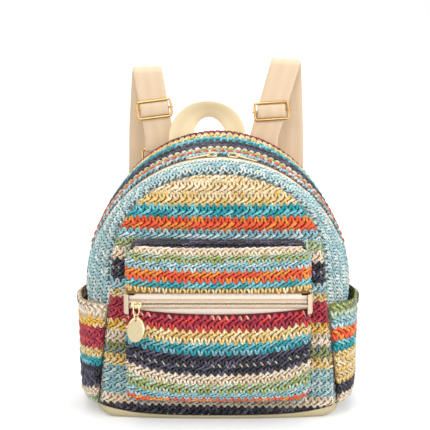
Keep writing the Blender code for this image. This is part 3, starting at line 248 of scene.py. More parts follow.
@dataclass(frozen=True)
class Finish:
    """A finish: its name, its colour and how rough it is."""

    name: str
    colour: Colour
    roughness: float

    def material(self) -> bpy.types.Material:
        """Return the finish's material, made when it is first asked for."""
        if self.name in bpy.data.materials:
            return bpy.data.materials[self.name]
        material = bpy.data.materials.new(self.name)
        material.use_nodes = True
        shader = material.node_tree.nodes["Principled BSDF"]
        shader.inputs["Base Color"].default_value = (*self.colour, 1.0)
        shader.inputs["Roughness"].default_value = self.roughness
        self.dress(Tree(material.node_tree), shader)
        return material

    def dress(self, tree: Tree, shader: bpy.types.Node) -> None:
        """Add the finish's own nodes; a plain finish has none."""

    def shade(self, tree: Tree, shader: bpy.types.Node, mask: Value, low: float,
              high: float = 1.0) -> None:
        """Link the colour, times low where the mask is 0 and times high where it is 1.

        Args:
            tree: The material's tree.
            shader: The material's main shader.
            mask: Where the tone is high.
            low: Tone where the mask is 0.
            high: Tone where the mask is 1.
        """
        tones = [(*(min(channel * share, 1.0) for channel in self.colour), 1.0)
                 for share in (low, high)]
        tree.link(tree.mix(mask, *tones), shader.inputs["Base Color"])

    def bump(self, tree: Tree, shader: bpy.types.Node, height: Value, depth: float) -> None:
        """Link a relief of a height field, depth metres deep.

        Args:
            tree: The material's tree.
            shader: The material's main shader.
            height: The height field.
            depth: Depth of the relief.
        """
        relief = tree.value("ShaderNodeBump",
                            {"Height": height, "Distance": depth, "Strength": 0.8})
        tree.link(relief, shader.inputs["Normal"])


@dataclass(frozen=True)
class StrawFinish(Finish):
    """Straw yarn: the colour of each strand is on the mesh, and its fibres run along it."""

    fibre: float = 0.0005
    # Ends of the fibres' tint: the fibres' own tone varies at random, the twist's hollows get
    # painted shade and its crests a painted highlight.
    valley_shade: Colour = (0.48, 0.47, 0.46)
    crest: Colour = (1.12, 1.12, 1.12)
    # Painted highlights: flecks along the fibres are lifted towards a pale tone, standing in for
    # glints on the glossy straw.
    highlight_gain: Colour = (1.5, 1.5, 1.5)
    highlight_lift: Colour = (0.065, 0.06, 0.055)
    highlight_cap: Colour = (0.90, 0.88, 0.84)

    def dress(self, tree: Tree, shader: bpy.types.Node) -> None:
        """Tint the strands' colour with fibres and flecks of painted highlight along them, and
        raise the fibres.

        Args:
            tree: The material's tree.
            shader: The material's main shader.
        """
        yarn = tree.value("ShaderNodeAttribute", attribute_name="yarn")
        along, around = (tree.value("ShaderNodeAttribute", None, "Fac", attribute_name=name)
                         for name in ("along", "around"))
        place = tree.combine(X=along * 160.0, Y=around * 5.0, Z=along * 9.0 + around)
        fibres = tree.noise(2.4, place=place)
        # The twist wave paints shade into the twist's hollows and a highlight onto its crests; the
        # fibre noise is the straw's own tone.
        twist = (around + along * 260.0).wave(1.0)
        tint = tree.value("ShaderNodeValToRGB", {"Fac": fibres * 0.75 + twist * 0.25},
                          stops=((0.30, self.valley_shade), (0.60, self.crest)))
        base = tree.mix(1.0, yarn, tint, "MULTIPLY")
        # Painted highlight: where the shine noise peaks, the colour is lifted towards a pale tone.
        place = tree.combine(X=along * 420.0, Y=around * 9.0, Z=along * 31.0 - around)
        shine = tree.mapped(tree.noise(1.7, place=place), 0.50, 0.62)
        highlight = tree.vector("MULTIPLY_ADD", base, self.highlight_gain, self.highlight_lift)
        highlight = tree.vector("MINIMUM", highlight, self.highlight_cap)
        tree.link(tree.mix(shine, base, highlight), shader.inputs["Base Color"])
        shader.inputs["Specular IOR Level"].default_value = 0.36
        self.bump(tree, shader, fibres * 0.6 + twist * 0.6, self.fibre)


@dataclass(frozen=True)
class WebbingFinish(Finish):
    """Satin webbing: fine ribs along it, a soft gloss and stripes of painted sheen, on the piece's
    own UV in metres.
    """

    rib: float = 0.0018
    pick: float = 0.0010
    # Width of the broad stripes of painted sheen across the webbing.
    band: float = 0.0125
    relief: float = 0.00006

    def dress(self, tree: Tree, shader: bpy.types.Node) -> None:
        """Add ribs, cross threads, a slow change of tone and broad stripes of painted sheen.

        Args:
            tree: The material's tree.
            shader: The material's main shader.
        """
        along, across, _ = tree.split(tree.value("ShaderNodeUVMap", uv_map="band"))
        ribs, sheen, picks = across.wave(self.rib), across.wave(self.band), along.wave(self.pick)
        # The sheen wave is painted sheen: lighter stripes across the webbing that stand in for the
        # satin's gloss.
        tone = ribs * 0.2 + picks * 0.25 + tree.noise(45.0) * 0.35 + sheen * 0.2
        self.shade(tree, shader, tone, 0.84, 1.10)
        tree.link(self.roughness - picks * 0.08, shader.inputs["Roughness"])
        self.bump(tree, shader, ribs * 0.35 + picks * 0.65, self.relief)
        shader.inputs["Sheen Weight"].default_value = 0.25


@dataclass(frozen=True)
class ClothFinish(Finish):
    """Plain woven cloth: a fine criss-cross of threads on Object coordinates."""

    thread: float = 0.0009

    def dress(self, tree: Tree, shader: bpy.types.Node) -> None:
        """Add the weave and its relief.

        Args:
            tree: The material's tree.
            shader: The material's main shader.
        """
        x, y, z = tree.split(tree.object_place())
        warp, weft = (x + y * 0.2).wave(self.thread), (y * 0.8 + z).wave(self.thread)
        weave = warp * weft + (1 - warp) * (1 - weft)
        self.shade(tree, shader, weave, 0.86, 1.04)
        self.bump(tree, shader, weave, self.thread / 8)


@dataclass(frozen=True)
class GoldFinish(Finish):
    """Pale gold plating: polished metal with faint wiping marks."""

    def dress(self, tree: Tree, shader: bpy.types.Node) -> None:
        """Make it metal and vary its gloss a little.

        Args:
            tree: The material's tree.
            shader: The material's main shader.
        """
        shader.inputs["Metallic"].default_value = 1.0
        marks = tree.noise(320.0, 3.0)
        tree.link(marks * 0.12 + (self.roughness - 0.04), shader.inputs["Roughness"])
        self.shade(tree, shader, marks, 0.90, 1.04)


@dataclass(frozen=True)
class CoilFinish(Finish):
    """Nylon coil: a satin plastic whose tone varies a little from place to place."""

    def dress(self, tree: Tree, shader: bpy.types.Node) -> None:
        """Vary the tone from turn to turn."""
        self.shade(tree, shader, tree.noise(420.0), 0.72)


@dataclass(frozen=True)
class ThreadFinish(Finish):
    """Sewing thread: a tone that changes a little from stitch to stitch, and its fine twist."""

    twist: float = 0.00008

    def dress(self, tree: Tree, shader: bpy.types.Node) -> None:
        """Add the tone and the twist.

        Args:
            tree: The material's tree.
            shader: The material's main shader.
        """
        tone = tree.noise(900.0)
        self.shade(tree, shader, tone, 0.7)
        self.bump(tree, shader, tone, self.twist)


STRAW = StrawFinish("straw yarn", (0.8, 0.7, 0.5), 0.46)
# The backing's colour is painted shade: the panels give it a darker copy of each row's yarn.
BACKING = StrawFinish("straw backing", (0.1, 0.08, 0.06), 0.85)
WEBBING = WebbingFinish("satin webbing", srgb(226, 200, 168), 0.44)
LOOP_WEBBING = WebbingFinish("satin carry loop", srgb(255, 230, 190), 0.42)
TAPE = ClothFinish("zipper tape", srgb(242, 228, 212), 0.55, 0.0005)
MAIN_TAPE = ClothFinish("main zipper tape", srgb(236, 218, 194), 0.6, 0.0006)
COIL = CoilFinish("zipper coil", srgb(214, 180, 146), 0.38)
COIL_PALE = CoilFinish("zipper coil pale", srgb(238, 216, 188), 0.38)
CLOTH = ClothFinish("base cloth", srgb(216, 200, 160), 0.82, 0.0011)
TAB_CLOTH = ClothFinish("tab cloth", srgb(228, 207, 178), 0.7, 0.0011)
GOLD = GoldFinish("pale gold", srgb(232, 215, 172), 0.14)
# A darker, more orange copy of the pale gold for the strap hardware: its darkness is a painted dark
# reflection on the bars.
DARK_REFLECTION_GOLD = GoldFinish("deep gold", srgb(208, 168, 110), 0.16)
THREAD = ThreadFinish("sewing thread", srgb(226, 200, 156), 0.6)
# Dark grey thread laid as painted shade in the holes along the front gusset's seam.
HOLE_SHADE_THREAD = ThreadFinish("seam thread", srgb(70, 78, 82), 0.6)
ORANGE_STRAW = ThreadFinish("orange straw", srgb(242, 96, 54), 0.5)
HEM_THREAD = ThreadFinish("hem thread", srgb(132, 112, 88), 0.6)


@dataclass(frozen=True)
class Yarn:
    """A plied straw yarn: its main colour, a second one and the share of strands that show it."""

    main: Colour
    fleck: Colour
    share: float = 0.35


CREAM = Yarn(srgb(243, 224, 200), srgb(236, 206, 170))
TAN = Yarn(srgb(232, 192, 120), srgb(240, 216, 168), 0.45)
SAND = Yarn(srgb(238, 206, 154), srgb(242, 218, 180), 0.5)
NAVY = Yarn(srgb(30, 30, 46), srgb(82, 78, 98), 0.35)
FLECK = Yarn(srgb(226, 216, 190), srgb(60, 60, 78), 0.3)
BLUE = Yarn(srgb(140, 188, 200), srgb(192, 218, 224), 0.4)
DEEP_BLUE = Yarn(srgb(142, 186, 194), srgb(190, 214, 216), 0.5)
PALE_BLUE = Yarn(srgb(162, 197, 203), srgb(208, 224, 220), 0.4)
SEA = Yarn(srgb(112, 178, 190), srgb(24, 150, 164), 0.4)
TEAL = Yarn(srgb(20, 152, 166), srgb(120, 196, 206), 0.4)
GREEN = Yarn(srgb(160, 172, 108), srgb(176, 196, 176), 0.45)
OLIVE = Yarn(srgb(142, 150, 100), srgb(126, 144, 150), 0.45)
ORANGE = Yarn(srgb(240, 88, 48), srgb(246, 142, 54), 0.4)
YELLOW = Yarn(srgb(242, 184, 66), srgb(246, 214, 150), 0.35)
BURGUNDY = Yarn(srgb(160, 32, 58), srgb(202, 52, 56), 0.4)
ROSE = Yarn(srgb(222, 168, 142), srgb(176, 36, 58), 0.45)
GARNET = Yarn(srgb(164, 38, 66), srgb(196, 66, 78), 0.4)
WINE = Yarn(srgb(140, 26, 62), srgb(92, 24, 54), 0.4)

ROW_PITCH = 0.0110
STITCH_PITCH = 0.0067


@dataclass(frozen=True)
class Stripe:
    """Rows of one yarn: where the stripe ends, and how many rows it holds."""

    yarn: Yarn
    end: float
    rows: int = 1
    loops: Yarn | None = None
    tails: Yarn | None = None


@dataclass(frozen=True)
class StripePlan:
    """The stripes of a panel, from where they start."""

    start: float
    stripes: tuple[Stripe, ...]

    def row_at(self, place: float) -> float:
        """Return the row number at a place, which goes on evenly past both ends.

        Args:
            place: Distance along the panel.

        Returns:
            The row number, with its fraction.
        """
        places = [self.start] + [stripe.end for stripe in self.stripes]
        rows = [0.0] + [float(row) for row in np.cumsum([stripe.rows for stripe in self.stripes])]
        way = 1.0 if places[-1] > places[0] else -1.0
        if way * (place - places[0]) < 0:
            return way * (place - places[0]) / ROW_PITCH
        if way * (place - places[-1]) > 0:
            return rows[-1] + way * (place - places[-1]) / ROW_PITCH
        order = slice(None, None, int(way))
        return float(np.interp(place, places[order], rows[order]))

    def yarns(self) -> list[tuple[Yarn, Yarn, Yarn]]:
        """Return the yarns of each row's slanted strands, loops and tails."""
        return [(stripe.yarn, stripe.loops or stripe.yarn, stripe.tails or stripe.yarn)
                for stripe in self.stripes for _ in range(stripe.rows)]


def link_object(name: str, data: bpy.types.ID) -> bpy.types.Object:
    """Make an object of some data and put it in the scene.

    Args:
        name: Name of the object.
        data: Its mesh, curve, lamp or camera.

    Returns:
        The object, at the origin.
    """
    item = bpy.data.objects.new(name, data)
    bpy.context.scene.collection.objects.link(item)
    return item


def new_mesh(name: str, points: Iterable[Sequence[float]],
             faces: Sequence[Sequence[int]] = ()) -> bpy.types.Mesh:
    """Make a mesh of points and faces.

    Args:
        name: Name of the mesh.
        points: Its points.
        faces: Its faces, as numbers of points.

    Returns:
        The mesh.
    """
    mesh = bpy.data.meshes.new(name)
    mesh.from_pydata([tuple(point) for point in points], [], faces)
    return mesh


def strip_faces(rows: int, count: int, closed: bool = False,
                capped: bool = False) -> list[tuple[int, ...]]:
    """Return the faces between rows of points.

    Args:
        rows: How many rows there are.
        count: How many points a row has.
        closed: Whether each row is a ring.
        capped: Whether the first and the last ring are faces too.

    Returns:
        The faces.
    """
    faces = []
    for row in range(rows - 1):
        for place in range(count if closed else count - 1):
            a, b = row * count + place, row * count + (place + 1) % count
            faces.append((a, b, b + count, a + count))
    if capped:
        faces += [tuple(range(count)), tuple(range((rows - 1) * count, rows * count))]
    return faces


def face_outward(mesh: bpy.types.Mesh, outward: Callable[[Vector], Vector]) -> bpy.types.Mesh:
    """Turn a sheet's faces so that most of them face outward.

    Args:
        mesh: The sheet.
        outward: Gives the outward direction at a place.

    Returns:
        The same mesh.
    """
    mesh.update()
    if sum(face.area * face.normal.dot(outward(face.center)) for face in mesh.polygons) < 0:
        mesh.flip_normals()
    return mesh


@dataclass
class Sheet:
    """An open sheet in space whose points know their place in the stitch pattern.

    pattern holds, for each point, the length along its row in metres and its row number.
    rows gives the first and the last row that are laid, where not all of them are.
    """

    points: list[Vector]
    pattern: list[tuple[float, float]]
    faces: list[tuple[int, ...]]
    rows: tuple[int, int] = (-999, 999)

    @staticmethod
    def from_grid(grid: Sequence[Sequence[tuple[Vector, float, float]]]) -> "Sheet":
        """Make a sheet from rows of (point, length, row number)."""
        flat = [cell for row in grid for cell in row]
        return Sheet([cell[0] for cell in flat], [(cell[1], cell[2]) for cell in flat],
                     strip_faces(len(grid), len(grid[0])))

    def mesh(self, name: str, outward: Callable[[Vector], Vector]) -> bpy.types.Mesh:
        """Make the sheet's mesh, facing outward, with its pattern as a UV map from 0 to 1.

        Args:
            name: Name of the mesh.
            outward: Gives the direction out of the bag at a point.

        Returns:
            The mesh, with its first row, its counts and its lowest and highest laid rows as custom
            properties.
        """
        mesh = face_outward(new_mesh(name, self.points, self.faces), outward)
        pattern = np.array(self.pattern)
        pattern[:, 0] /= STITCH_PITCH
        low = np.floor(pattern.min(0) - 0.3)
        count = np.maximum(np.ceil(pattern.max(0) + 0.3) - low, 1)
        share = (pattern - low) / count
        corners = np.zeros(len(mesh.loops), int)
        mesh.loops.foreach_get("vertex_index", corners)
        layer = mesh.uv_layers.new(name="pattern")
        layer.data.foreach_set("uv", share[corners].astype(np.float32).ravel())
        normals = np.array([vertex.normal for vertex in mesh.vertices], np.float32)
        out = mesh.attributes.new("out", "FLOAT_VECTOR", "POINT")
        out.data.foreach_set("vector", normals.ravel())
        for key, number in (("lowest", self.rows[0] - low[1]), ("highest", self.rows[1] - low[1]),
                            ("first_row", low[1]), ("stitches", count[0]), ("rows", count[1])):
            mesh[key] = int(number)
        return mesh


class Turn(Enum):
    """Which way round a panel's fabric is sewn in."""

    LOOPS_BELOW = 0.0
    LOOPS_ABOVE = math.pi


SewnSheet = tuple[Sheet, StripePlan, Turn]


@dataclass(frozen=True)
class Crochet:
    """The stitch: two plies of a slanted strand, a loop and a tail, repeated along every row."""

    ply_radius: float = 0.00112
    ply_offset: float = 0.85
    loop_radius: float = 0.00130
    tail_radius: float = 0.00125
    backing_drop: float = 0.0014
    backing_wall: float = 0.0008
    lift: float = -0.0008
    jitter: float = 0.09
    sides: int = 5
    slant: tuple = ((-4.7, -0.9, -1.2), (-2.9, 0.4, 0.1), (-0.5, 1.9, 0.6), (1.9, 3.5, 0.5),
                    (3.6, 5.2, -0.3), (4.0, 6.3, -1.3))
    loop: tuple = ((-2.4, 0.0, -1.1), (-1.5, -2.4, 0.1), (-1.1, -4.3, 0.3), (-0.1, -5.7, 0.1),
                   (1.0, -4.4, 0.3), (1.4, -2.4, 0.1), (2.0, -0.2, -1.0))
    tail: tuple = ((6.2, 2.6, -1.0), (5.2, 4.1, -0.3), (4.1, 5.7, -0.3), (3.5, 6.4, -1.2))

    def ply(self, side: float) -> list[tuple[float, float, float]]:
        """Return one of the slanted strand's two plies, which cross over by half a turn.

        Args:
            side: 1 for the ply that lies on top where they cross, or -1.

        Returns:
            The ply's knots in millimetres.
        """
        run = Vector(self.slant[-2]) - Vector(self.slant[1])
        across = Vector((-run.y, run.x, 0.0)).normalized() * self.ply_offset * side
        knots = []
        for index, knot in enumerate(self.slant):
            angle = math.pi * index / (len(self.slant) - 1)
            rise = Vector((0.0, 0.0, side * self.ply_offset * 0.7 * math.sin(angle)))
            knots.append(tuple(Vector(knot) + across * math.cos(angle) + rise))
        return knots

    def stitch(self) -> bpy.types.Object:
        """Make the curve of one stitch: first ply, loop, tail and second ply."""
        curve = bpy.data.curves.new("stitch", "CURVE")
        curve.dimensions = "3D"
        for knots, radius in ((self.ply(1.0), self.ply_radius), (self.loop, self.loop_radius),
                              (self.tail, self.tail_radius), (self.ply(-1.0), self.ply_radius)):
            line = add_line(curve, [[value / 1000 for value in knot] for knot in knots])
            for index, knot in enumerate(line.points):
                knot.radius = radius * (0.8 if index in (0, len(knots) - 1) else 1.0)
        return link_object("stitch", curve)

    def tree(self) -> bpy.types.NodeTree:
        """Build the tree that lays stitches over a sheet and backs them with cloth.

        Returns:
            The Geometry Nodes tree, made when it is first asked for.
        """
        if "crochet" in bpy.data.node_groups:
            return bpy.data.node_groups["crochet"]
        tree, given = Tree.group("crochet", {
            "Sheet": "Geometry", "Stitch": "Object", "Stitches": "Int", "Rows": "Int",
            "Lowest Row": "Int", "Highest Row": "Int", "Stitch Pitch": "Float",
            "Row Pitch": "Float", "Turn": "Float", "Sides": "Int", "Lift": "Float",
            "Jitter": "Float", "Backing Drop": "Float", "Backing Wall": "Float", "Seed": "Int",
            "Yarn": "Material", "Backing": "Material"}, "Cloth")
        pitch, row_pitch = given["Stitch Pitch"], given["Row Pitch"]

        # One stitch as tubes that carry their strand number and their fibres' places
        strand = tree.geometry("ObjectInfo", {"Object": given["Stitch"]}, "Geometry")
        strand = tree.keep(strand, "strand", tree.geometry("InputIndex"), "CURVE")
        strand = tree.keep(strand, "along", tree.geometry("SplineParameter", None, "Length"))
        ring = tree.geometry("CurvePrimitiveCircle", {"Resolution": given["Sides"], "Radius": 1.0})
        ring = tree.keep(ring, "around", tree.geometry("SplineParameter"))
        tube = tree.geometry("CurveToMesh", {
            "Curve": strand, "Profile Curve": ring, "Scale": tree.geometry("InputRadius"),
            "Fill Caps": True})

        # The stitches' middles, one for each cell of the pattern
        wide, high = pitch * (given["Stitches"] - 1), row_pitch * (given["Rows"] - 1)
        cells = tree.geometry("MeshGrid", {"Size X": wide, "Size Y": high,
                                           "Vertices X": given["Stitches"],
                                           "Vertices Y": given["Rows"]})
        middle = tree.combine(X=wide * 0.5 + pitch * 0.5, Y=high * 0.5 + row_pitch * 0.5)
        cells = tree.geometry("Transform", {"Geometry": cells, "Translation": middle})
        row = tree.split(tree.geometry("InputPosition"))[1] / row_pitch - 0.5
        left_out = row.below(given["Lowest Row"] - 0.5) + row.above(given["Highest Row"] + 0.5)
        cells = tree.geometry("DeleteGeometry", {"Geometry": cells, "Selection": left_out},
                              domain="POINT")
        cells = tree.keep(cells, "row", row)
        for name, shift in (("pick", 1), ("shade", 2)):
            cells = tree.keep(cells, name, tree.random(0.0, 1.0, given["Seed"] + shift))
        swing = tree.random(given["Jitter"] * -1.0, given["Jitter"], given["Seed"])
        laid = tree.geometry("InstanceOnPoints", {
            "Points": cells, "Instance": tube, "Rotation": tree.combine(Z=swing + given["Turn"]),
            "Scale": tree.random(0.94, 1.08, given["Seed"] + 7)})
        laid = tree.geometry("RealizeInstances", {"Geometry": laid})

        # Every point of the flat stitches goes to its place on the sheet
        x, y, z = tree.split(tree.geometry("InputPosition"))
        spot = tree.combine(X=x / (pitch * given["Stitches"]), Y=y / (row_pitch * given["Rows"]))
        base = self._sample(tree, given["Sheet"], spot, tree.geometry("InputPosition"))
        out = self._sample(tree, given["Sheet"], spot, tree.named("out"))
        raised = tree.scaled(Value(tree, out.outputs["Value"]), z + given["Lift"])
        target = tree.vector("ADD", Value(tree, base.outputs["Value"]), raised)
        outside = tree.value("FunctionNodeBooleanMath",
                             {0: Value(tree, base.outputs["Is Valid"])}, operation="NOT")
        kept = tree.geometry("DeleteGeometry", {"Geometry": laid, "Selection": outside},
                             domain="POINT")
        kept = tree.geometry("SetPosition", {"Geometry": kept, "Position": target})
        kept = tree.geometry("SetShadeSmooth", {"Geometry": kept})
        kept = tree.geometry("SetMaterial", {"Geometry": kept, "Material": given["Yarn"]})
        tree.add("NodeGroupOutput", {0: tree.join(kept, self._backing(tree, given))})
        return tree.nodes

    def _sample(self, tree: Tree, sheet: Value, spot: Value, value: Value) -> bpy.types.Node:
        """Read a value of the sheet at a place of the pattern.

        Args:
            tree: The pattern's tree.
            sheet: The sheet.
            spot: The place.
            value: What is read.

        Returns:
            The node that reads it.
        """
        return tree.add("GeometryNodeSampleUVSurface",
                        {"Mesh": sheet, "Value": value, "Source UV Map": tree.named("pattern"),
                         "Sample UV": spot}, data_type="FLOAT_VECTOR")

    def _backing(self, tree: Tree, given: dict[str, Value]) -> Value:
        """Make the closed cloth behind the stitches from the sheet.

        Args:
            tree: The pattern's tree.
            given: The pattern's inputs by name.

        Returns:
            The cloth.
        """
        out = tree.named("out")
        down = tree.scaled(out, given["Backing Drop"] * -1.0)
        front = tree.geometry("SetPosition", {"Geometry": given["Sheet"], "Offset": down})
        rear = tree.geometry("ExtrudeMesh", {
            "Mesh": front, "Offset": out, "Offset Scale": given["Backing Wall"] * -1.0,
            "Individual": False}, mode="FACES")
        both = tree.join(front, tree.geometry("FlipFaces", {"Mesh": rear}))
        shell = tree.geometry("MergeByDistance", {"Geometry": both, "Distance": 0.00001})
        shell = tree.keep(shell, "strand", tree.value("ShaderNodeValue"))
        shell.socket.node.inputs["Value"].default_value = 0.0
        return tree.geometry("SetMaterial", {"Geometry": shell, "Material": given["Backing"]})


def add_line(curve: bpy.types.Curve, points: Sequence[Sequence[float]],
             closed: bool = False) -> bpy.types.Spline:
    """Add a line through points to a curve.

    Args:
        curve: The curve that gets the line.
        points: The line's points.
        closed: Whether its ends meet.

    Returns:
        The new line.
    """
    line = curve.splines.new("POLY")
    line.points.add(len(points) - 1)
    for knot, point in zip(line.points, points):
        knot.co = (*point, 1.0)
    line.use_cyclic_u = closed
    return line


def plain_mesh(source: bpy.types.Object, name: str = "") -> bpy.types.Mesh:
    """Turn an object with modifiers into a plain mesh and remove the object.

    Args:
        source: The object, which is removed.
        name: Name of the mesh.

    Returns:
        The mesh.
    """
    view = bpy.context.evaluated_depsgraph_get()
    mesh = bpy.data.meshes.new_from_object(source.evaluated_get(view), depsgraph=view)
    mesh.name = name or source.name
    bpy.data.objects.remove(source, do_unlink=True)
    return mesh


def laid_mesh(carrier: bpy.types.Object, tree: bpy.types.NodeTree, values: dict) -> bpy.types.Mesh:
    """Run a Geometry Nodes tree on an object and return the plain mesh that it makes.

    Args:
        carrier: The object, which is removed.
        tree: The tree.
        values: Its inputs' values, by name.

    Returns:
        The mesh.
    """
    change = carrier.modifiers.new(tree.name, "NODES")
    change.node_group = tree
    for item in tree.interface.items_tree:
        if item.item_type == "SOCKET" and item.in_out == "INPUT" and item.name in values:
            change[item.identifier] = values[item.name]
    return plain_mesh(carrier)


def add_piece(name: str, mesh: bpy.types.Mesh, body: str, slot: str, *nodes: str) -> None:
    """Add a finished piece to the scene.

    Args:
        name: The piece's name.
        mesh: Its mesh, in place.
        body: The body that it rides on.
        slot: The material slot of the record that it belongs to; not used.
        *nodes: The nodes that it stands for.
    """
    piece = link_object(name, mesh)
    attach(piece, body)
    if nodes:
        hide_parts(*nodes)
    LOG.info("%s: %d faces", name, len(mesh.polygons))


def join_meshes(name: str, meshes: Sequence[bpy.types.Mesh]) -> bpy.types.Mesh:
    """Join plain meshes into one, which keeps their materials and attributes.

    Args:
        name: Name of the joined mesh.
        meshes: The meshes to join.

    Returns:
        The joined mesh.
    """
    parts = [link_object("part", mesh) for mesh in meshes]
    bpy.context.view_layer.update()
    with bpy.context.temp_override(active_object=parts[0], selected_editable_objects=parts,
                                   selected_objects=parts, object=parts[0]):
        bpy.ops.object.join()
    mesh = parts[0].data
    mesh.name = name
    bpy.data.objects.remove(parts[0], do_unlink=True)
    return mesh


@dataclass
class StrawPanel:
    """A panel of crocheted straw: sheets, their stripes and which way round they are sewn in."""

    name: str
    node: str
    slot: str
    seed: int
    # Factor of painted shade on the backing seen through the gaps between stitches.
    under: ClassVar[Colour] = (0.34, 0.24, 0.18)
    facing: ClassVar[Vector | None] = None

    def sheets(self) -> list[SewnSheet]:
        """Return the panel's sheets, each with its stripes and its turn."""
        raise NotImplementedError

    def outward(self, point: Vector) -> Vector:
        """Direction out of the bag: the panel's own, or else out of its sides and top."""
        return FORM.radial(point) if self.facing is None else self.facing

    def build(self, crochet: Crochet, stitch: bpy.types.Object) -> None:
        """Lay the stitches over the panel's sheets and colour them.

        Args:
            crochet: The stitch and its sizes.
            stitch: The curve of one stitch.
        """
        meshes = []
        for number, (sheet, plan, turn) in enumerate(self.sheets()):
            base = sheet.mesh(self.name, self.outward)
            mesh = laid_mesh(link_object(self.name, base), crochet.tree(), {
                "Stitch": stitch, "Stitches": base["stitches"], "Rows": base["rows"],
                "Lowest Row": base["lowest"], "Highest Row": base["highest"],
                "Stitch Pitch": STITCH_PITCH, "Row Pitch": ROW_PITCH, "Turn": turn.value,
                "Sides": crochet.sides, "Lift": crochet.lift, "Jitter": crochet.jitter,
                "Backing Drop": crochet.backing_drop, "Backing Wall": crochet.backing_wall,
                "Seed": self.seed + number, "Yarn": STRAW.material(),
                "Backing": BACKING.material()})
            self.colour(mesh, plan, base["first_row"], base["rows"])
            meshes.append(mesh)
        mesh = join_meshes(self.name, meshes) if len(meshes) > 1 else meshes[0]
        add_piece(self.name, mesh, "bag", self.slot, self.node)

    def colour(self, mesh: bpy.types.Mesh, plan: StripePlan, first_row: int, rows: int) -> None:
        """Give each strand the colour of its row's yarn, and the backing a darker copy of it:
        painted shade that makes the gaps between stitches read as shadowed holes.

        Args:
            mesh: The stitched cloth.
            plan: The stripes.
            first_row: The row number of the pattern's lowest cell.
            rows: How many rows of cells the pattern has.
        """
        read = {}
        for name in ("row", "pick", "shade", "strand"):
            read[name] = np.zeros(len(mesh.vertices), np.float32)
            mesh.attributes[name].data.foreach_get("value", read[name])
        is_backing = np.zeros(len(mesh.vertices), bool)
        for face in mesh.polygons:
            if mesh.materials[face.material_index].name != STRAW.name:
                is_backing[list(face.vertices)] = True
        yarns = plan.yarns()
        strand_row = np.round(read["row"]).astype(int) + first_row
        index = np.where(is_backing, self.backing_rows(mesh, first_row, rows), strand_row)
        index = np.clip(index, 0, len(yarns) - 1)
        tones = np.array([[y.main, y.fleck] for row in yarns for y in row]).reshape(-1, 3, 2, 3)
        shares = np.array([[y.share for y in row] for row in yarns])
        strand = np.round(read["strand"]).astype(int) % 3
        pick = (read["pick"] + read["strand"] * 0.37) % 1.0
        flecked = (pick < shares[index, strand]).astype(int)
        shade = 0.82 + 0.34 * ((read["shade"] + read["strand"] * 0.4) % 1.0)
        colour = tones[index, strand, flecked] * shade[:, None]
        # Painted shade: the backing takes a darker copy of its row's yarn, so the gaps read as
        # shadowed holes.
        dark = tones[index, 1, 0] * self.under + 0.004
        colour = np.where(is_backing[:, None], dark, colour)
        layer = mesh.attributes.new("yarn", "FLOAT_COLOR", "POINT")
        colour = np.c_[colour, np.ones(len(colour))].astype(np.float32)
        layer.data.foreach_set("color", colour.ravel())

    def backing_rows(self, mesh: bpy.types.Mesh, first_row: int, rows: int) -> np.ndarray:
        """Return each point's row from the pattern that the backing keeps.

        Args:
            mesh: The panel's mesh.
            first_row: Number of the first row.
            rows: Number of rows.

        Returns:
            A row number for each point.
        """
        found = np.zeros(len(mesh.vertices))
        layer = mesh.attributes["pattern"]
        values = np.zeros(len(layer.data) * 2, np.float32)
        layer.data.foreach_get("vector", values)
        corners = np.zeros(len(mesh.loops), int)
        mesh.loops.foreach_get("vertex_index", corners)
        found[corners] = values.reshape(-1, 2)[:, 1] * rows + first_row
        return np.floor(found).astype(int)


@dataclass(frozen=True)
class Arch:
    """A cross-section of the bag, as seen from the front."""

    y: float
    spring_half: float
    spring_z: float
    crown_z: float
    power: float
    foot_half: float
    foot_z: float
    leg_share: float = 0.19

    def point(self, share: float) -> tuple[float, float]:
        """Return the place (x, z) at a share of the arch, from its left foot to its right foot.

        Args:
            share: Share of the arch, from 0 at its left foot to 1 at its right foot.

        Returns:
            The place (x, z).
        """
        side = -1.0 if share < 0.5 else 1.0
        climb = min(share, 1.0 - share)
        if climb < self.leg_share:
            part = climb / self.leg_share
            return (side * (self.foot_half + (self.spring_half - self.foot_half) * part),
                    self.foot_z + (self.spring_z - self.foot_z) * part)
        angle = (climb - self.leg_share) / (0.5 - self.leg_share) * math.pi / 2
        reach = max(math.cos(angle), 0.0) ** (2 / self.power)
        rise = math.sin(angle) ** (2 / self.power)
        return (side * self.spring_half * reach,
                self.spring_z + (self.crown_z - self.spring_z) * rise)

    def half_width(self, z: float, inset: float = 0.0) -> float:
        """Return half the arch's width at a height.

        Args:
            z: The height.
            inset: Distance kept from the outline.

        Returns:
            Half the width at that distance inside the outline.
        """
        if z <= self.spring_z:
            part = (z - self.foot_z) / (self.spring_z - self.foot_z)
            return self.foot_half + (self.spring_half - self.foot_half) * part - inset
        rise = (z - self.spring_z) / (self.crown_z - inset - self.spring_z)
        return (self.spring_half - inset) * max(1 - rise ** self.power, 0.0) ** (1 / self.power)


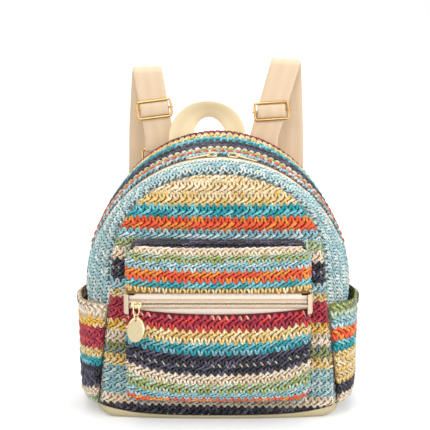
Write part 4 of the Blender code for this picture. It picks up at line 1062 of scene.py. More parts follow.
@dataclass(frozen=True)
class BagForm:
    """The bag's shape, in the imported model's own sizes."""

    front: Arch = Arch(DATUM_Y - 0.0370, 0.1030, 0.1400, 0.2380, 2.3, 0.1145, 0.0140)
    zip: Arch = Arch(DATUM_Y - 0.0070, 0.1290, 0.1220, 0.2510, 2.0, 0.1200, 0.0090)
    middle: Arch = Arch(DATUM_Y + 0.0260, 0.1285, 0.1260, 0.2590, 2.0, 0.1195, 0.0070)
    back: Arch = Arch(DATUM_Y + 0.0670, 0.1120, 0.1560, 0.2660, 2.0, 0.1110, 0.0070)
    roll: float = 0.0040
    lean: float = 0.0140
    front_bulge: float = 0.0060
    back_bulge: float = 0.0030
    foot_middle_z: float = 0.0050
    mouth: float = 0.0090
    hem: float = 0.0039
    strip: float = 0.0016
    shoulder: float = 0.40
    wall: float = 0.0024
    side_pocket_top: float = 0.1130
    side_pocket_room: float = 0.0058
    side_pocket_spread: float = 0.0068
    side_pocket_turn: int = 30
    straw_width: float = 0.86
    straw_narrowing: float = 0.14

    @property
    def zip_front(self) -> float:
        """Depth of the zipper mouth's front edge."""
        return self.zip.y - self.mouth / 2

    @property
    def zip_rear(self) -> float:
        """Depth of the zipper mouth's rear edge."""
        return self.zip.y + self.mouth / 2

    def seam_y(self, z: float) -> float:
        """Return the depth of the leaning front seam at a height."""
        return self.front.y - self.lean * (1 - z / self.front.crown_z)

    def foot_z(self, x: float) -> float:
        """Return the height of the front panel's lower edge."""
        share = min(abs(x) / self.front.foot_half, 1.0)
        return self.foot_middle_z + (self.front.foot_z - self.foot_middle_z) * share ** 4

    def front_face_y(self, x: float, z: float) -> float:
        """Return the depth of the front panel's face."""
        half = max(self.front.half_width(z, self.roll), 0.001)
        return self.seam_y(z) - self.roll - self.front_bulge * max(1 - (x / half) ** 2, 0.0)

    def back_face_y(self, x: float, z: float) -> float:
        """Return the depth of the back panel's face."""
        half = max(self.back.half_width(z, self.roll), 0.001)
        return self.back.y + self.roll + self.back_bulge * max(1 - (x / half) ** 2, 0.0)

    def rear_arch(self, y: float) -> Arch:
        """Return the rear gusset's cross-section at a depth.

        Args:
            y: The depth.

        Returns:
            The cross-section's arch.
        """
        a, b, c = self.zip.y, self.middle.y, self.back.y
        weights = ((y - b) * (y - c) / ((a - b) * (a - c)), (y - a) * (y - c) / ((b - a) * (b - c)),
                   (y - a) * (y - b) / ((c - a) * (c - b)))
        sizes = [sum(w * getattr(arch, name) for w, arch in
                     zip(weights, (self.zip, self.middle, self.back)))
                 for name in ("spring_half", "spring_z", "crown_z", "power", "foot_half", "foot_z")]
        return Arch(y, *sizes)

    def shoulder_point(self, front: Vector, rear: Vector, part: float) -> Vector:
        """Return a point across the front gusset, which leaves the zipper square to it."""
        turn = Vector((rear.x, front.y + (rear.y - front.y) * self.shoulder, rear.z))
        return (1 - part) ** 2 * front + 2 * part * (1 - part) * turn + part ** 2 * rear

    def front_gusset_point(self, share: float, part: float) -> Vector:
        """Return a point between the front seam (part 0) and the zipper's hem (part 1).

        Args:
            share: Share of the arch, from 0 at its left foot to 1 at its right foot.
            part: Share of the gusset's width.

        Returns:
            The point.
        """
        x, z = self.front.point(share)
        front = Vector((x, self.seam_y(z) + SEAM_GAP + self.strip, z))
        x, z = self.zip.point(share)
        return self.shoulder_point(front, Vector((x, self.zip_front - self.hem, z)), part)

    def straw_part(self, share: float) -> float:
        """Return how much of the front gusset shows straw; the zipper's tape has the rest."""
        climb = min(share, 1.0 - share)
        rise = max((climb - self.zip.leg_share) / (0.5 - self.zip.leg_share), 0.0)
        return self.straw_width - self.straw_narrowing * math.sin(rise * math.pi / 2) ** 4

    def gusset_out(self, share: float, part: float) -> Vector:
        """Return the direction out of the front gusset.

        Args:
            share: Share of the arch, from 0 at its left foot to 1 at its right foot.
            part: Share of the gusset's width.

        Returns:
            The direction, one long.
        """
        across = (self.front_gusset_point(share, min(part + 0.02, 1.0))
                  - self.front_gusset_point(share, max(part - 0.02, 0.0)))
        along = (self.front_gusset_point(min(share + 0.004, 1.0), part)
                 - self.front_gusset_point(max(share - 0.004, 0.0), part))
        return across.cross(along).normalized()

    def rear_gusset_point(self, share: float, y: float) -> Vector:
        """Return a point behind the zipper at a share of the arch and a depth."""
        x, z = self.rear_arch(y).point(share)
        return Vector((x, y, z))

    def side_place(self, along: float, z: float) -> Vector:
        """Return a place on the right wall, from the front seam (0) to the back seam (1).

        Args:
            along: Share of the way from the front seam to the back seam.
            z: The height.

        Returns:
            The place.
        """
        first = self.seam_y(z)
        y = first + (self.back.y - first) * along
        split = (self.zip_front - self.hem - first) / (self.back.y - first)
        if along >= split:
            return Vector((self.rear_arch(max(y, self.zip.y)).half_width(z), y, z))
        front = Vector((self.front.half_width(z), first, z))
        rear = Vector((self.zip.half_width(z), self.zip_front - self.hem, z))
        return self.shoulder_point(front, rear, along / split)

    def side_out(self, along: float, z: float) -> Vector:
        """Return the level direction out of the right wall."""
        run = (self.side_place(min(along + 0.02, 1.0), z)
               - self.side_place(max(along - 0.02, 0.0), z))
        return Vector((run.y, -run.x, 0.0)).normalized()

    def side_foot_z(self, y: float) -> float:
        """Return the height of the walls' lower edge at a depth.

        Args:
            y: The depth.

        Returns:
            The height.
        """
        if y >= self.zip_front:
            return self.rear_arch(max(y, self.zip.y)).foot_z
        seam = self.seam_y(self.front.foot_z)
        part = max(y - seam, 0.0) / (self.zip_front - seam)
        return self.front.foot_z + (self.zip.foot_z - self.front.foot_z) * part

    def radial(self, point: Vector) -> Vector:
        """Direction out of the bag's sides and top."""
        return Vector((point.x, 0.0, point.z - self.zip.spring_z)).normalized()


def rolled_sheet(lines: Sequence[float], half: Callable[[float], float],
                 face: Callable[[float, float], Vector], row: Callable[[float, float], float],
                 roll: float, seam: Callable[[float], float], columns: int) -> Sheet:
    """Make a panel's face whose border, but for its first line, rolls back to the seam.

    Args:
        lines: Heights of the face's lines, from its straight edge to the far edge.
        half: Gives half the face's width at a height.
        face: Gives the point of the face at (x, z).
        row: Gives the row number at (x, z).
        roll: Radius of the rolled border.
        seam: Gives the depth of the seam at a height.
        columns: How many columns the face has.

    Returns:
        The sheet.
    """
    grid = []
    for z in lines:
        xs = [half(z) * (2 * column / columns - 1) for column in range(columns + 1)]
        grid.append([(face(x, z), x, row(x, z)) for x in xs])
    sheet = Sheet.from_grid(grid)
    rows, width = len(lines), columns + 1
    border = [index * width for index in range(rows)]
    border += [(rows - 1) * width + column for column in range(1, width)]
    border += [index * width + width - 1 for index in range(rows - 2, -1, -1)]
    last = len(border) - 1
    centre = sum((sheet.points[index] for index in border), Vector()) / len(border)
    outs = []
    for place, index in enumerate(border):
        run = sheet.points[border[min(place + 1, last)]] - sheet.points[border[max(place - 1, 0)]]
        out = Vector((run.z, 0.0, -run.x)).normalized()
        off = sheet.points[index] - centre
        if out.x * off.x + out.z * off.z < 0:
            out = -out
        outs.append(RIGHT * math.copysign(1.0, out.x) if place in (0, last) else out)
    previous = border
    for step in range(1, 4):
        angle = math.pi / 2 * step / 3
        ring = []
        for index, out in zip(border, outs):
            start = sheet.points[index]
            depth = seam(start.z + out.z * roll) - start.y
            ring.append(len(sheet.points))
            sheet.points.append(start + out * roll * math.sin(angle)
                                + Vector((0.0, depth * (1 - math.cos(angle)), 0.0)))
            x, z = start.x + out.x * roll * angle, start.z + out.z * roll * angle
            sheet.pattern.append((x, row(x, z)))
        sheet.faces += [(previous[place], previous[place + 1], ring[place + 1], ring[place])
                        for place in range(last)]
        previous = ring
    return sheet


def spread(low: float, high: float, step: float) -> list[float]:
    """Return even places from low to high, about a step apart."""
    count = max(round(abs(high - low) / step), 1)
    return [low + (high - low) * index / count for index in range(count + 1)]


def run_lengths(points: Sequence[Vector]) -> list[float]:
    """Return the length of a line at each of its points.

    Args:
        points: The line's points.

    Returns:
        The lengths, from 0 at the first point.
    """
    lengths = [0.0]
    for before, after in zip(points, points[1:]):
        lengths.append(lengths[-1] + (after - before).length)
    return lengths


FORM = BagForm()

FRONT_STRIPES = StripePlan(0.0036, (
    Stripe(NAVY, 0.0137, tails=FLECK), Stripe(CREAM, 0.0238), Stripe(DEEP_BLUE, 0.0508, 3),
    Stripe(TAN, 0.0618), Stripe(OLIVE, 0.0738), Stripe(CREAM, 0.0866), Stripe(YELLOW, 0.0965),
    Stripe(GARNET, 0.1182, 2), Stripe(TAN, 0.1251), Stripe(BLUE, 0.1358), Stripe(NAVY, 0.1455),
    Stripe(NAVY, 0.1553, tails=FLECK), Stripe(CREAM, 0.1670), Stripe(GREEN, 0.1765),
    Stripe(BLUE, 0.1860), Stripe(ORANGE, 0.1985), Stripe(TEAL, 0.2100), Stripe(TAN, 0.2215),
    Stripe(SAND, 0.2450, 2)))

BACK_STRIPES = StripePlan(0.0060, (
    Stripe(NAVY, 0.0170), Stripe(CREAM, 0.0280), Stripe(TEAL, 0.0390), Stripe(TAN, 0.0610, 2),
    Stripe(ORANGE, 0.0720), Stripe(BLUE, 0.0940, 2), Stripe(CREAM, 0.1050), Stripe(WINE, 0.1270, 2),
    Stripe(YELLOW, 0.1380), Stripe(GREEN, 0.1490), Stripe(CREAM, 0.1600), Stripe(NAVY, 0.1820, 2),
    Stripe(BLUE, 0.1930), Stripe(TEAL, 0.2040), Stripe(ORANGE, 0.2150), Stripe(TAN, 0.2260),
    Stripe(SAND, 0.2700, 4)))

POCKET_UPPER_STRIPES = StripePlan(0.1306, (
    Stripe(TEAL, 0.1421, 1, TAN), Stripe(ORANGE, 0.1535), Stripe(BLUE, 0.1611),
    Stripe(GREEN, 0.1687), Stripe(CREAM, 0.1763), Stripe(NAVY, 0.1900)))

POCKET_LOWER_STRIPES = StripePlan(0.0170, (
    Stripe(TEAL, 0.0228), Stripe(ORANGE, 0.0278), Stripe(BLUE, 0.0327), Stripe(GREEN, 0.0425),
    Stripe(CREAM, 0.0525), Stripe(NAVY, 0.0622, tails=FLECK), Stripe(NAVY, 0.0722),
    Stripe(SEA, 0.0827), Stripe(TAN, 0.0952), Stripe(BURGUNDY, 0.1085, tails=ROSE)))

POCKET_SIDE_STRIPES = StripePlan(0.0170, POCKET_LOWER_STRIPES.stripes[:-1] + (
    Stripe(BURGUNDY, 0.1180, 2), Stripe(TAN, 0.1340, 1), Stripe(TEAL, 0.1440),
    Stripe(ORANGE, 0.1540), Stripe(BLUE, 0.1630), Stripe(GREEN, 0.1690), Stripe(CREAM, 0.1750),
    Stripe(NAVY, 0.1900)))
POCKET_TOP_STRIPES = StripePlan(0.0, (Stripe(NAVY, 0.0300, 3),))
POCKET_FOOT_STRIPES = StripePlan(0.0, (Stripe(TEAL, 0.011), Stripe(BLUE, 0.03, 2)))

LEFT_POCKET_STRIPES = StripePlan(0.0000, (
    Stripe(BLUE, 0.0133), Stripe(GREEN, 0.0214), Stripe(CREAM, 0.0305), Stripe(NAVY, 0.0415),
    Stripe(NAVY, 0.0515), Stripe(TEAL, 0.0595), Stripe(TAN, 0.0685), Stripe(GARNET, 0.0900, 2),
    Stripe(YELLOW, 0.0970), Stripe(CREAM, 0.1140)))
LEFT_POCKET_RISE = ((0.0000, 0.0133), (0.0176, 0.0129), (0.0490, 0.0030), (0.0854, 0.0045),
                    (0.0978, 0.0005), (0.1130, 0.0000))

RIGHT_POCKET_STRIPES = StripePlan(0.0000, (
    Stripe(BLUE, 0.0140), Stripe(CREAM, 0.0235), Stripe(NAVY, 0.0340), Stripe(TAN, 0.0655, 3),
    Stripe(TEAL, 0.0760), Stripe(ORANGE, 0.0885), Stripe(BLUE, 0.0980), Stripe(GREEN, 0.1130)))
RIGHT_POCKET_RISE = ((0.0000, -0.0040), (0.0400, -0.0040), (0.0700, -0.0020), (0.0850, 0.0))


@dataclass
class FrontPanel(StrawPanel):
    """The domed front panel; its rows drop a little towards the bag's right."""

    facing: ClassVar[Vector] = FORWARD
    tilt: float = -0.023
    settle: float = 0.033
    tilt_end: float = 0.200
    tilt_ease: float = 0.030

    def dipped(self, x: float, z: float) -> float:
        """Return the height of a line's point; the lowest lines follow the dipping edge."""
        foot = FORM.front.foot_z
        return z + (FORM.foot_z(x) - foot) * max(1 - (z - foot) / self.settle, 0.0)

    def face(self, x: float, z: float) -> Vector:
        """Return a point of the face."""
        low = self.dipped(x, z)
        return Vector((x, FORM.front_face_y(x, low), low))

    def row(self, x: float, z: float) -> float:
        """Return the row number at a place."""
        tilt = self.tilt * min(max((self.tilt_end - z) / self.tilt_ease, 0.0), 1.0)
        return FRONT_STRIPES.row_at(self.dipped(x, z) - tilt * x)

    def sheets(self) -> list[SewnSheet]:
        """Return the face with its rolled border."""
        arch = FORM.front
        sheet = rolled_sheet(spread(arch.foot_z, arch.crown_z - FORM.roll - 0.0006, 0.0060),
                             lambda z: arch.half_width(z, FORM.roll), self.face, self.row,
                             FORM.roll, FORM.seam_y, 28)
        return [(sheet, FRONT_STRIPES, Turn.LOOPS_ABOVE)]


@dataclass
class BackPanel(StrawPanel):
    """The flatter back panel."""

    facing: ClassVar[Vector] = BACKWARD

    def sheets(self) -> list[SewnSheet]:
        """Return the face with its rolled border."""
        arch = FORM.back
        sheet = rolled_sheet(spread(arch.foot_z, arch.crown_z - FORM.roll - 0.0006, 0.0080),
                             lambda z: arch.half_width(z, FORM.roll),
                             lambda x, z: Vector((x, FORM.back_face_y(x, z), z)),
                             lambda x, z: BACK_STRIPES.row_at(z), FORM.roll, lambda z: arch.y, 24)
        return [(sheet, BACK_STRIPES, Turn.LOOPS_ABOVE)]


@dataclass
class ArchBand(StrawPanel):
    """A band whose rows follow the bag's arch."""

    steps: ClassVar[int] = 150
    row_width: ClassVar[float] = 0.0108
    rows_across: ClassVar[float] = 0.0
    stripes: ClassVar[StripePlan]

    def line(self, share: float) -> list[Vector]:
        """Return the points across the band at a share of the arch."""
        raise NotImplementedError

    def row(self, place: float) -> float:
        """Return the row number at a place across the band, counted in even rows."""
        return place

    def sheets(self) -> list[SewnSheet]:
        """Return the band; its rows keep their width unless it has a number of rows."""
        lines = [self.line(index / self.steps) for index in range(self.steps + 1)]
        middle = run_lengths([points[len(points) // 2] for points in lines])
        grid = []
        for points, length in zip(lines, middle):
            across = run_lengths(points)
            scale = self.rows_across / across[-1] if self.rows_across else 1 / self.row_width
            grid.append([(point, length, self.row(part * scale))
                         for point, part in zip(points, across)])
        return [(Sheet.from_grid(grid), self.stripes, Turn.LOOPS_ABOVE)]


@dataclass
class FrontGusset(ArchBand):
    """The light blue band between the front seam and the main zipper."""

    stripes: ClassVar[StripePlan] = StripePlan(0.0, (Stripe(PALE_BLUE, 4.0, 4),))
    cord_diameter: float = 0.0044
    cord_sink: float = 0.0024
    cord_back: float = -0.0018
    under_tape: float = 0.06
    hole_place: float = 0.03

    def line(self, share: float) -> list[Vector]:
        """Return the points across the band at a share of the arch."""
        last = FORM.straw_part(share) + self.under_tape
        points = [FORM.front_gusset_point(share, last * index / 8) for index in range(9)]
        return [points[0] - Vector((0.0, FORM.strip, 0.0))] + points

    def build(self, crochet: Crochet, stitch: bpy.types.Object) -> None:
        """Build the band, the seam's cord and a line of dark stitches along it, painted shade for
        the seam's shadowed holes.

        Args:
            crochet: The maker of the straw.
            stitch: The stitch that is repeated.
        """
        line = [FORM.front_gusset_point(share, 0.0) for share in spread(0.012, 0.988, 1 / 160)]
        back = Vector((0.0, self.cord_back, 0.0))
        line = [p - self.outward(p) * self.cord_sink + back for p in line]
        cord = wire_mesh("cord", line, self.cord_diameter, resolution=2)
        add_piece(f"{self.name}_cord", dressed(cord, HEM_THREAD), "bag", self.slot)
        path = [FORM.front_gusset_point(share, self.hole_place)
                for share in spread(0.180, 0.820, 1 / 240)]
        # Painted shade: short dark stitches one stitch pitch apart stand in for the shadowed holes
        # of the seam.
        Stitching(HOLE_SHADE_THREAD, 0.0026, 0.0041, 0.0017, 60.0, 0.0009).add(
            f"{self.name}_seam", path, self.outward, self.slot)
        super().build(replace(crochet, lift=-0.0012, jitter=0.03), stitch)


@dataclass
class RearGusset(ArchBand):
    """The striped band between the main zipper and the back seam; its rows differ in width."""

    stripes: ClassVar[StripePlan] = StripePlan(0.0, (
        Stripe(BLUE, 1.2, tails=ORANGE), Stripe(GREEN, 2.1, 1, CREAM), Stripe(NAVY, 3.1),
        Stripe(NAVY, 4.1), Stripe(TEAL, 5.3), Stripe(TAN, 6.7), Stripe(WINE, 7.4)))
    rows_across: ClassVar[float] = 7.4
    last_place: ClassVar[float] = 7.399
    strand_place: float = 0.0056

    def line(self, share: float) -> list[Vector]:
        """Return the points across the band at a share of the arch."""
        x, z = FORM.zip.point(share)
        depths = spread(FORM.zip_rear + FORM.hem, FORM.back.y - SEAM_GAP, 0.005)
        return [Vector((x, FORM.zip_rear, z))] + [FORM.rear_gusset_point(share, y) for y in depths]

    def row(self, place: float) -> float:
        """Return the row number at a place across the band."""
        return self.stripes.row_at(min(place, self.last_place))

    def build(self, crochet: Crochet, stitch: bpy.types.Object) -> None:
        """Build the band and the orange strands that are worked in beside the zipper.

        Args:
            crochet: The maker of the straw.
            stitch: The stitch that is repeated.
        """
        path = [FORM.rear_gusset_point(share, FORM.zip_rear + self.strand_place)
                for share in spread(0.250, 0.750, 1 / 240)]
        Stitching(ORANGE_STRAW, 0.0050, 0.0028, 0.0019, 22.0, 0.0012).add(
            f"{self.name}_orange", path, self.outward, self.slot)
        super().build(crochet, stitch)


@dataclass
class SidePocket(StrawPanel):
    """An open-topped pocket on the bag's side."""

    side: float
    stripes: StripePlan
    rise: tuple[tuple[float, float], ...]
    # Lighter painted shade on the side pockets' backing, whose inside shows at the pocket's mouth.
    under: ClassVar[Colour] = (0.62, 0.54, 0.46)
    seat: ClassVar[float] = 0.0012
    hem_drop: ClassVar[float] = 0.0036

    def place(self, along: float, z: float, line: float) -> Vector:
        """Return a point of the wall, line being its share of the pocket's height.

        Args:
            along: Share of the way from the front seam to the back seam.
            z: The height.
            line: Share of the pocket's height.

        Returns:
            The point.
        """
        room = ((FORM.side_pocket_room + FORM.side_pocket_spread * (1 - line))
                * (1 - (1 - line) ** FORM.side_pocket_turn))
        reach = FORM.wall + SEAM_GAP + self.seat + room * math.sin(math.pi * along) ** 0.6
        point = FORM.side_place(along, z) + FORM.side_out(along, z) * reach
        return Vector((self.side * point.x, point.y, z))

    def build(self, crochet: Crochet, stitch: bpy.types.Object) -> None:
        """Build the pocket and sew its hem with slanting stitches.

        Args:
            crochet: The maker of the straw.
            stitch: The stitch that is repeated.
        """
        path = [self.place(along, FORM.side_pocket_top - self.hem_drop, 0.97)
                for along in spread(0.08, 0.92, 1 / 40)]
        Stitching(HEM_THREAD, 0.0046, 0.0018, 0.0009, -self.side * 52.0, 0.0014).add(
            f"{self.name}_hem", path, self.outward, self.slot)
        super().build(crochet, stitch)

    def sheets(self) -> list[SewnSheet]:
        """Return the pocket's wall."""
        grid = []
        for line in spread(0.0, 1.0, 0.05):
            row = []
            for along in spread(0.0, 1.0, 1 / 24):
                low = FORM.side_foot_z(FORM.side_place(along, FORM.back.foot_z).y)
                z = low + (FORM.side_pocket_top - low) * line
                turned = min(along / 0.45, 1.0) * float(np.interp(z, *zip(*self.rise)))
                row.append((self.place(along, z, line), z + turned))
            grid.append(row)
        lengths = run_lengths([cell[0] for cell in grid[len(grid) // 2]])
        sheet = Sheet.from_grid([[(point, -self.side * length, self.stripes.row_at(z))
                                  for (point, z), length in zip(row, lengths)] for row in grid])
        sheet.rows = (-1, len(self.stripes.yarns()) - 1)
        return [(sheet, self.stripes, Turn.LOOPS_BELOW)]


@dataclass(frozen=True)
class PocketForm:
    """The front pocket's shape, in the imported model's own sizes."""

    half: float = 0.0875
    low: float = 0.0240
    high: float = 0.1770
    face: float = DATUM_Y - 0.0815
    corner: float = 0.0150
    roll: float = 0.0060
    bulge: float = 0.0040
    wall: float = 0.0022
    zip_z: float = 0.1210
    window: float = 0.0205
    mouth_rise: float = 0.0065
    mouth_start: float = 0.085

    def half_width(self, z: float, inset: float) -> float:
        """Return half the outline's width at a height, with its round corners.

        Args:
            z: The height.
            inset: Distance kept from the outline.

        Returns:
            Half the width at that distance inside the outline.
        """
        half, radius = self.half - inset, self.corner - inset
        low, high = self.low + inset, self.high - inset
        reach = max(low + radius - z, z - (high - radius), 0.0)
        return half - radius + math.sqrt(max(radius ** 2 - reach ** 2, 0.0))

    def face_y(self, x: float, z: float) -> float:
        """Return the depth of the face, which swells between the zipper and its edges.

        Args:
            x: Distance to the right of the middle.
            z: The height.

        Returns:
            The depth.
        """
        edge = self.high if z > self.zip_z else self.low
        mouth = self.zip_z + math.copysign(self.window / 2, edge - self.zip_z)
        hem = math.copysign(FORM.hem, edge - mouth)
        share = min(max((z - mouth - hem) / (edge - mouth - hem), 0.0), 1.0)
        width = max(1 - (x / self.half) ** 2, 0.0)
        return self.face - self.bulge * math.sin(math.pi * share) * width

    def lift(self, x: float, z: float) -> float:
        """Return how far a row stands higher at a distance from the middle."""
        rise = np.interp(z, (0.024, 0.052, 0.080, 0.112, 0.150),
                         (0.003, 0.014, 0.012, 0.0065, 0.004))
        return float(rise) * min(abs(x) / self.half, 1.1) ** 3.0

    def mouth_z(self, x: float, z: float) -> float:
        """Return how far a point of the lower face stands higher, near the zipper's mouth."""
        start = self.mouth_start
        near = min(max((z - start) / (self.zip_z - self.window / 2 - start), 0.0), 1.0)
        return self.mouth_rise * min(abs(x) / self.half, 1.0) ** 2.2 * near


POCKET = PocketForm()


@dataclass
class PocketFace(StrawPanel):
    """One panel of the front pocket's face, above or below its zipper."""

    upper: bool
    facing: ClassVar[Vector] = FORWARD

    def height(self, x: float, z: float) -> float:
        """Return the height of a line's point; the lower face's mouth rises at both ends."""
        return z if self.upper else z + POCKET.mouth_z(x, z)

    def face(self, x: float, z: float) -> Vector:
        """Return a point of the face."""
        z = self.height(x, z)
        return Vector((x, POCKET.face_y(x, z), z))

    def sheets(self) -> list[SewnSheet]:
        """Return the face with its rolled border; its rows sag towards the middle."""
        stripes, way, edge = ((POCKET_UPPER_STRIPES, 1.0, POCKET.high) if self.upper
                              else (POCKET_LOWER_STRIPES, -1.0, POCKET.low))

        def row(x: float, z: float) -> float:
            """Return the row number at a place."""
            z = self.height(x, z)
            return stripes.row_at(z - POCKET.lift(x, z))

        lines = spread(POCKET.zip_z + way * POCKET.window / 2,
                       edge - way * (POCKET.roll + 0.0006), 0.0040)
        sheet = rolled_sheet(lines, lambda z: POCKET.half_width(z, POCKET.roll), self.face, row,
                             POCKET.roll, lambda z: POCKET.face + POCKET.roll, 28)
        sheet.rows = (0, 99) if self.upper else (-1, len(stripes.yarns()) - 1)
        return [(sheet, stripes, Turn.LOOPS_BELOW)]


@dataclass
class PocketGusset(StrawPanel):
    """The band between the front pocket's face and the bag."""

    front_y: ClassVar[float] = POCKET.face + POCKET.roll + SEAM_GAP
    side_end: ClassVar[float] = 0.0045
    straight_share: ClassVar[float] = 0.86

    def sheets(self) -> list[SewnSheet]:
        """Return the two sides, whose rows run on from the face, the top and the bottom."""
        done = []
        for side in (-1.0, 1.0):
            lines = []
            for z in spread(POCKET.low + self.side_end, POCKET.high - self.side_end, 0.006):
                x = side * POCKET.half_width(z, 0.0)
                row = POCKET_SIDE_STRIPES.row_at(z - POCKET.lift(x, z))
                lines.append([(Vector((x, y, z)), side * (y - self.front_y), row)
                              for y in self.depths(x, z)])
            done.append((self.even(lines), POCKET_SIDE_STRIPES, Turn.LOOPS_BELOW))
        for edge, way, plan in ((POCKET.high, 1.0, POCKET_TOP_STRIPES),
                                (POCKET.low, -1.0, POCKET_FOOT_STRIPES)):
            lines = []
            for share in spread(-1.0, 1.0, 0.02):
                bend = max(abs(share) - self.straight_share, 0.0) / 0.14 * math.pi / 4
                straight = (min(abs(share) / self.straight_share, 1.0)
                            * (POCKET.half - POCKET.corner))
                x = math.copysign(straight + POCKET.corner * math.sin(bend), share)
                z = edge - way * POCKET.corner * (1 - math.cos(bend))
                length = math.copysign(straight + POCKET.corner * bend, share)
                lines.append([(Vector((x, y, z)), length, plan.row_at(y - self.front_y))
                              for y in self.depths(x, z)])
            done.append((self.even(lines), plan, Turn.LOOPS_ABOVE))
        return done

    def depths(self, x: float, z: float) -> list[float]:
        """Return the depths of the band's points at a place of its outline."""
        return spread(self.front_y, FORM.front_face_y(x, z) - 0.0012, 0.002)

    def even(self, lines: list) -> Sheet:
        """Make a sheet from lines that may differ in their number of points."""
        last = max(len(line) for line in lines) - 1
        return Sheet.from_grid([[tuple(a + (b - a) * step / last for a, b in zip(line[0], line[-1]))
                                 for step in range(last + 1)] for line in lines])

    def outward(self, point: Vector) -> Vector:
        """Direction out of the pocket's sides."""
        return Vector((point.x, 0.0, point.z - (POCKET.low + POCKET.high) / 2))


def smooth_path(knots: Sequence[Vector], steps: int = 8) -> list[Vector]:
    """Return points on a smooth curve through knots.

    Args:
        knots: Places that the curve goes through.
        steps: Number of steps between two knots.

    Returns:
        The curve's points.
    """
    path = []
    for index in range(len(knots) - 1):
        a, b, c, d = (knots[min(max(index + shift, 0), len(knots) - 1)] for shift in (-1, 0, 1, 2))
        for t in (step / steps for step in range(steps)):
            path.append(0.5 * (2 * b + (c - a) * t + (2 * a - 5 * b + 4 * c - d) * t ** 2
                               + (3 * b - a - 3 * c + d) * t ** 3))
    return path + [knots[-1]]


def arc(start: float, turn: float, steps: int) -> list[float]:
    """Return the angles of an arc in radians, from its start in degrees."""
    return [math.radians(start + turn * step / steps) for step in range(steps + 1)]


def tidy_mesh(mesh: bpy.types.Mesh, weld: float = 0.000002, sharp: float = 40.0) -> bpy.types.Mesh:
    """Weld a mesh, turn its faces outwards and shade it smooth but for its sharp edges.

    Args:
        mesh: The mesh, which is changed.
        weld: Points closer than this become one.
        sharp: Edges that turn by more degrees than this stay sharp.

    Returns:
        The same mesh.
    """
    solid = bmesh.new()
    solid.from_mesh(mesh)
    bmesh.ops.remove_doubles(solid, verts=solid.verts, dist=weld)
    bmesh.ops.recalc_face_normals(solid, faces=solid.faces)
    for face in solid.faces:
        face.smooth = True
    for edge in solid.edges:
        edge.smooth = edge.calc_face_angle(0.0) < math.radians(sharp)
    solid.to_mesh(mesh)
    solid.free()
    return mesh


def wire_mesh(name: str, points: Sequence[Vector], diameter: float, closed: bool = False,
              resolution: int = 4) -> bpy.types.Mesh:
    """Return the mesh of a round wire bent through points.

    Args:
        name: Name of the mesh.
        points: The wire's middle line.
        diameter: Thickness of the wire.
        closed: Whether its ends meet.
        resolution: Fineness of its round section.

    Returns:
        The wire's mesh.
    """
    curve = bpy.data.curves.new(name, "CURVE")
    curve.dimensions = "3D"
    curve.bevel_depth = diameter / 2
    curve.bevel_resolution = resolution
    curve.use_fill_caps = not closed
    add_line(curve, points, closed)
    return tidy_mesh(plain_mesh(link_object(name, curve)))


def walled_mesh(mesh: bpy.types.Mesh, wall: float, sharp: float) -> bpy.types.Mesh:
    """Return a closed wall of a sheet, which is its outer face.

    Args:
        mesh: The sheet.
        wall: Thickness of the wall.
        sharp: Angle in degrees past which an edge is sharp.

    Returns:
        The wall's mesh.
    """
    carrier = link_object(mesh.name, mesh)
    change = carrier.modifiers.new("wall", "SOLIDIFY")
    change.thickness = wall
    change.offset = -1.0
    return tidy_mesh(plain_mesh(carrier), FINE_WELD, sharp)


def dressed(mesh: bpy.types.Mesh, finish: Finish) -> bpy.types.Mesh:
    """Give a mesh one finish.

    Args:
        mesh: The mesh.
        finish: Its finish.

    Returns:
        The same mesh.
    """
    mesh.materials.clear()
    mesh.materials.append(finish.material())
    return mesh


@dataclass(frozen=True)
class Section:
    """The cross-section of a strip: its width and thickness."""

    width: float = 0.0300
    thickness: float = 0.0014

    def outline(self, width: float) -> list[tuple[float, float]]:
        """Return the section's closed outline as (across, out) points.

        Args:
            width: Width of the section.

        Returns:
            The outline's points.
        """
        radius = self.thickness / 2
        reach = width / 2 - radius
        flat = [reach * share / 3 for share in range(-3, 4)]
        bends = [(radius * math.sin(a), radius * math.cos(a)) for a in arc(45, 90, 2)]
        return ([(u, radius) for u in flat] + [(reach + u, v) for u, v in bends]
                + [(u, -radius) for u in reversed(flat)] + [(-reach - u, -v) for u, v in bends])

    def sweep(self, name: str, path: Sequence[Vector], across: Sequence[Vector],
              widths: Sequence[float] = ()) -> bpy.types.Mesh:
        """Sweep the section along a path.

        Args:
            name: Name of the mesh.
            path: Points along the strip's middle.
            across: The direction across the strip at each point.
            widths: Its width at each point, where it changes.

        Returns:
            The strip, whose UV map "band" holds metres along and across it.
        """
        points, places = [], []
        for index, (point, side, along) in enumerate(zip(path, across, run_lengths(path))):
            run = path[min(index + 1, len(path) - 1)] - path[max(index - 1, 0)]
            out = run.cross(side).normalized()
            outline = self.outline(widths[index] if widths else self.width)
            points += [point + side * u + out * v for u, v in outline]
            places += [(along, u) for u, v in outline]
        mesh = new_mesh(name, points, strip_faces(len(path), len(outline), True, True))
        set_band(mesh, places)
        return tidy_mesh(mesh, FINE_WELD, 55.0)


def set_band(mesh: bpy.types.Mesh, places: Sequence[tuple[float, float]]) -> None:
    """Give a mesh's points their places along and across the webbing.

    Args:
        mesh: The mesh.
        places: A place (along, across) for each point.
    """
    layer = mesh.uv_layers.new(name="band")
    for corner in mesh.loops:
        layer.data[corner.index].uv = places[corner.vertex_index]


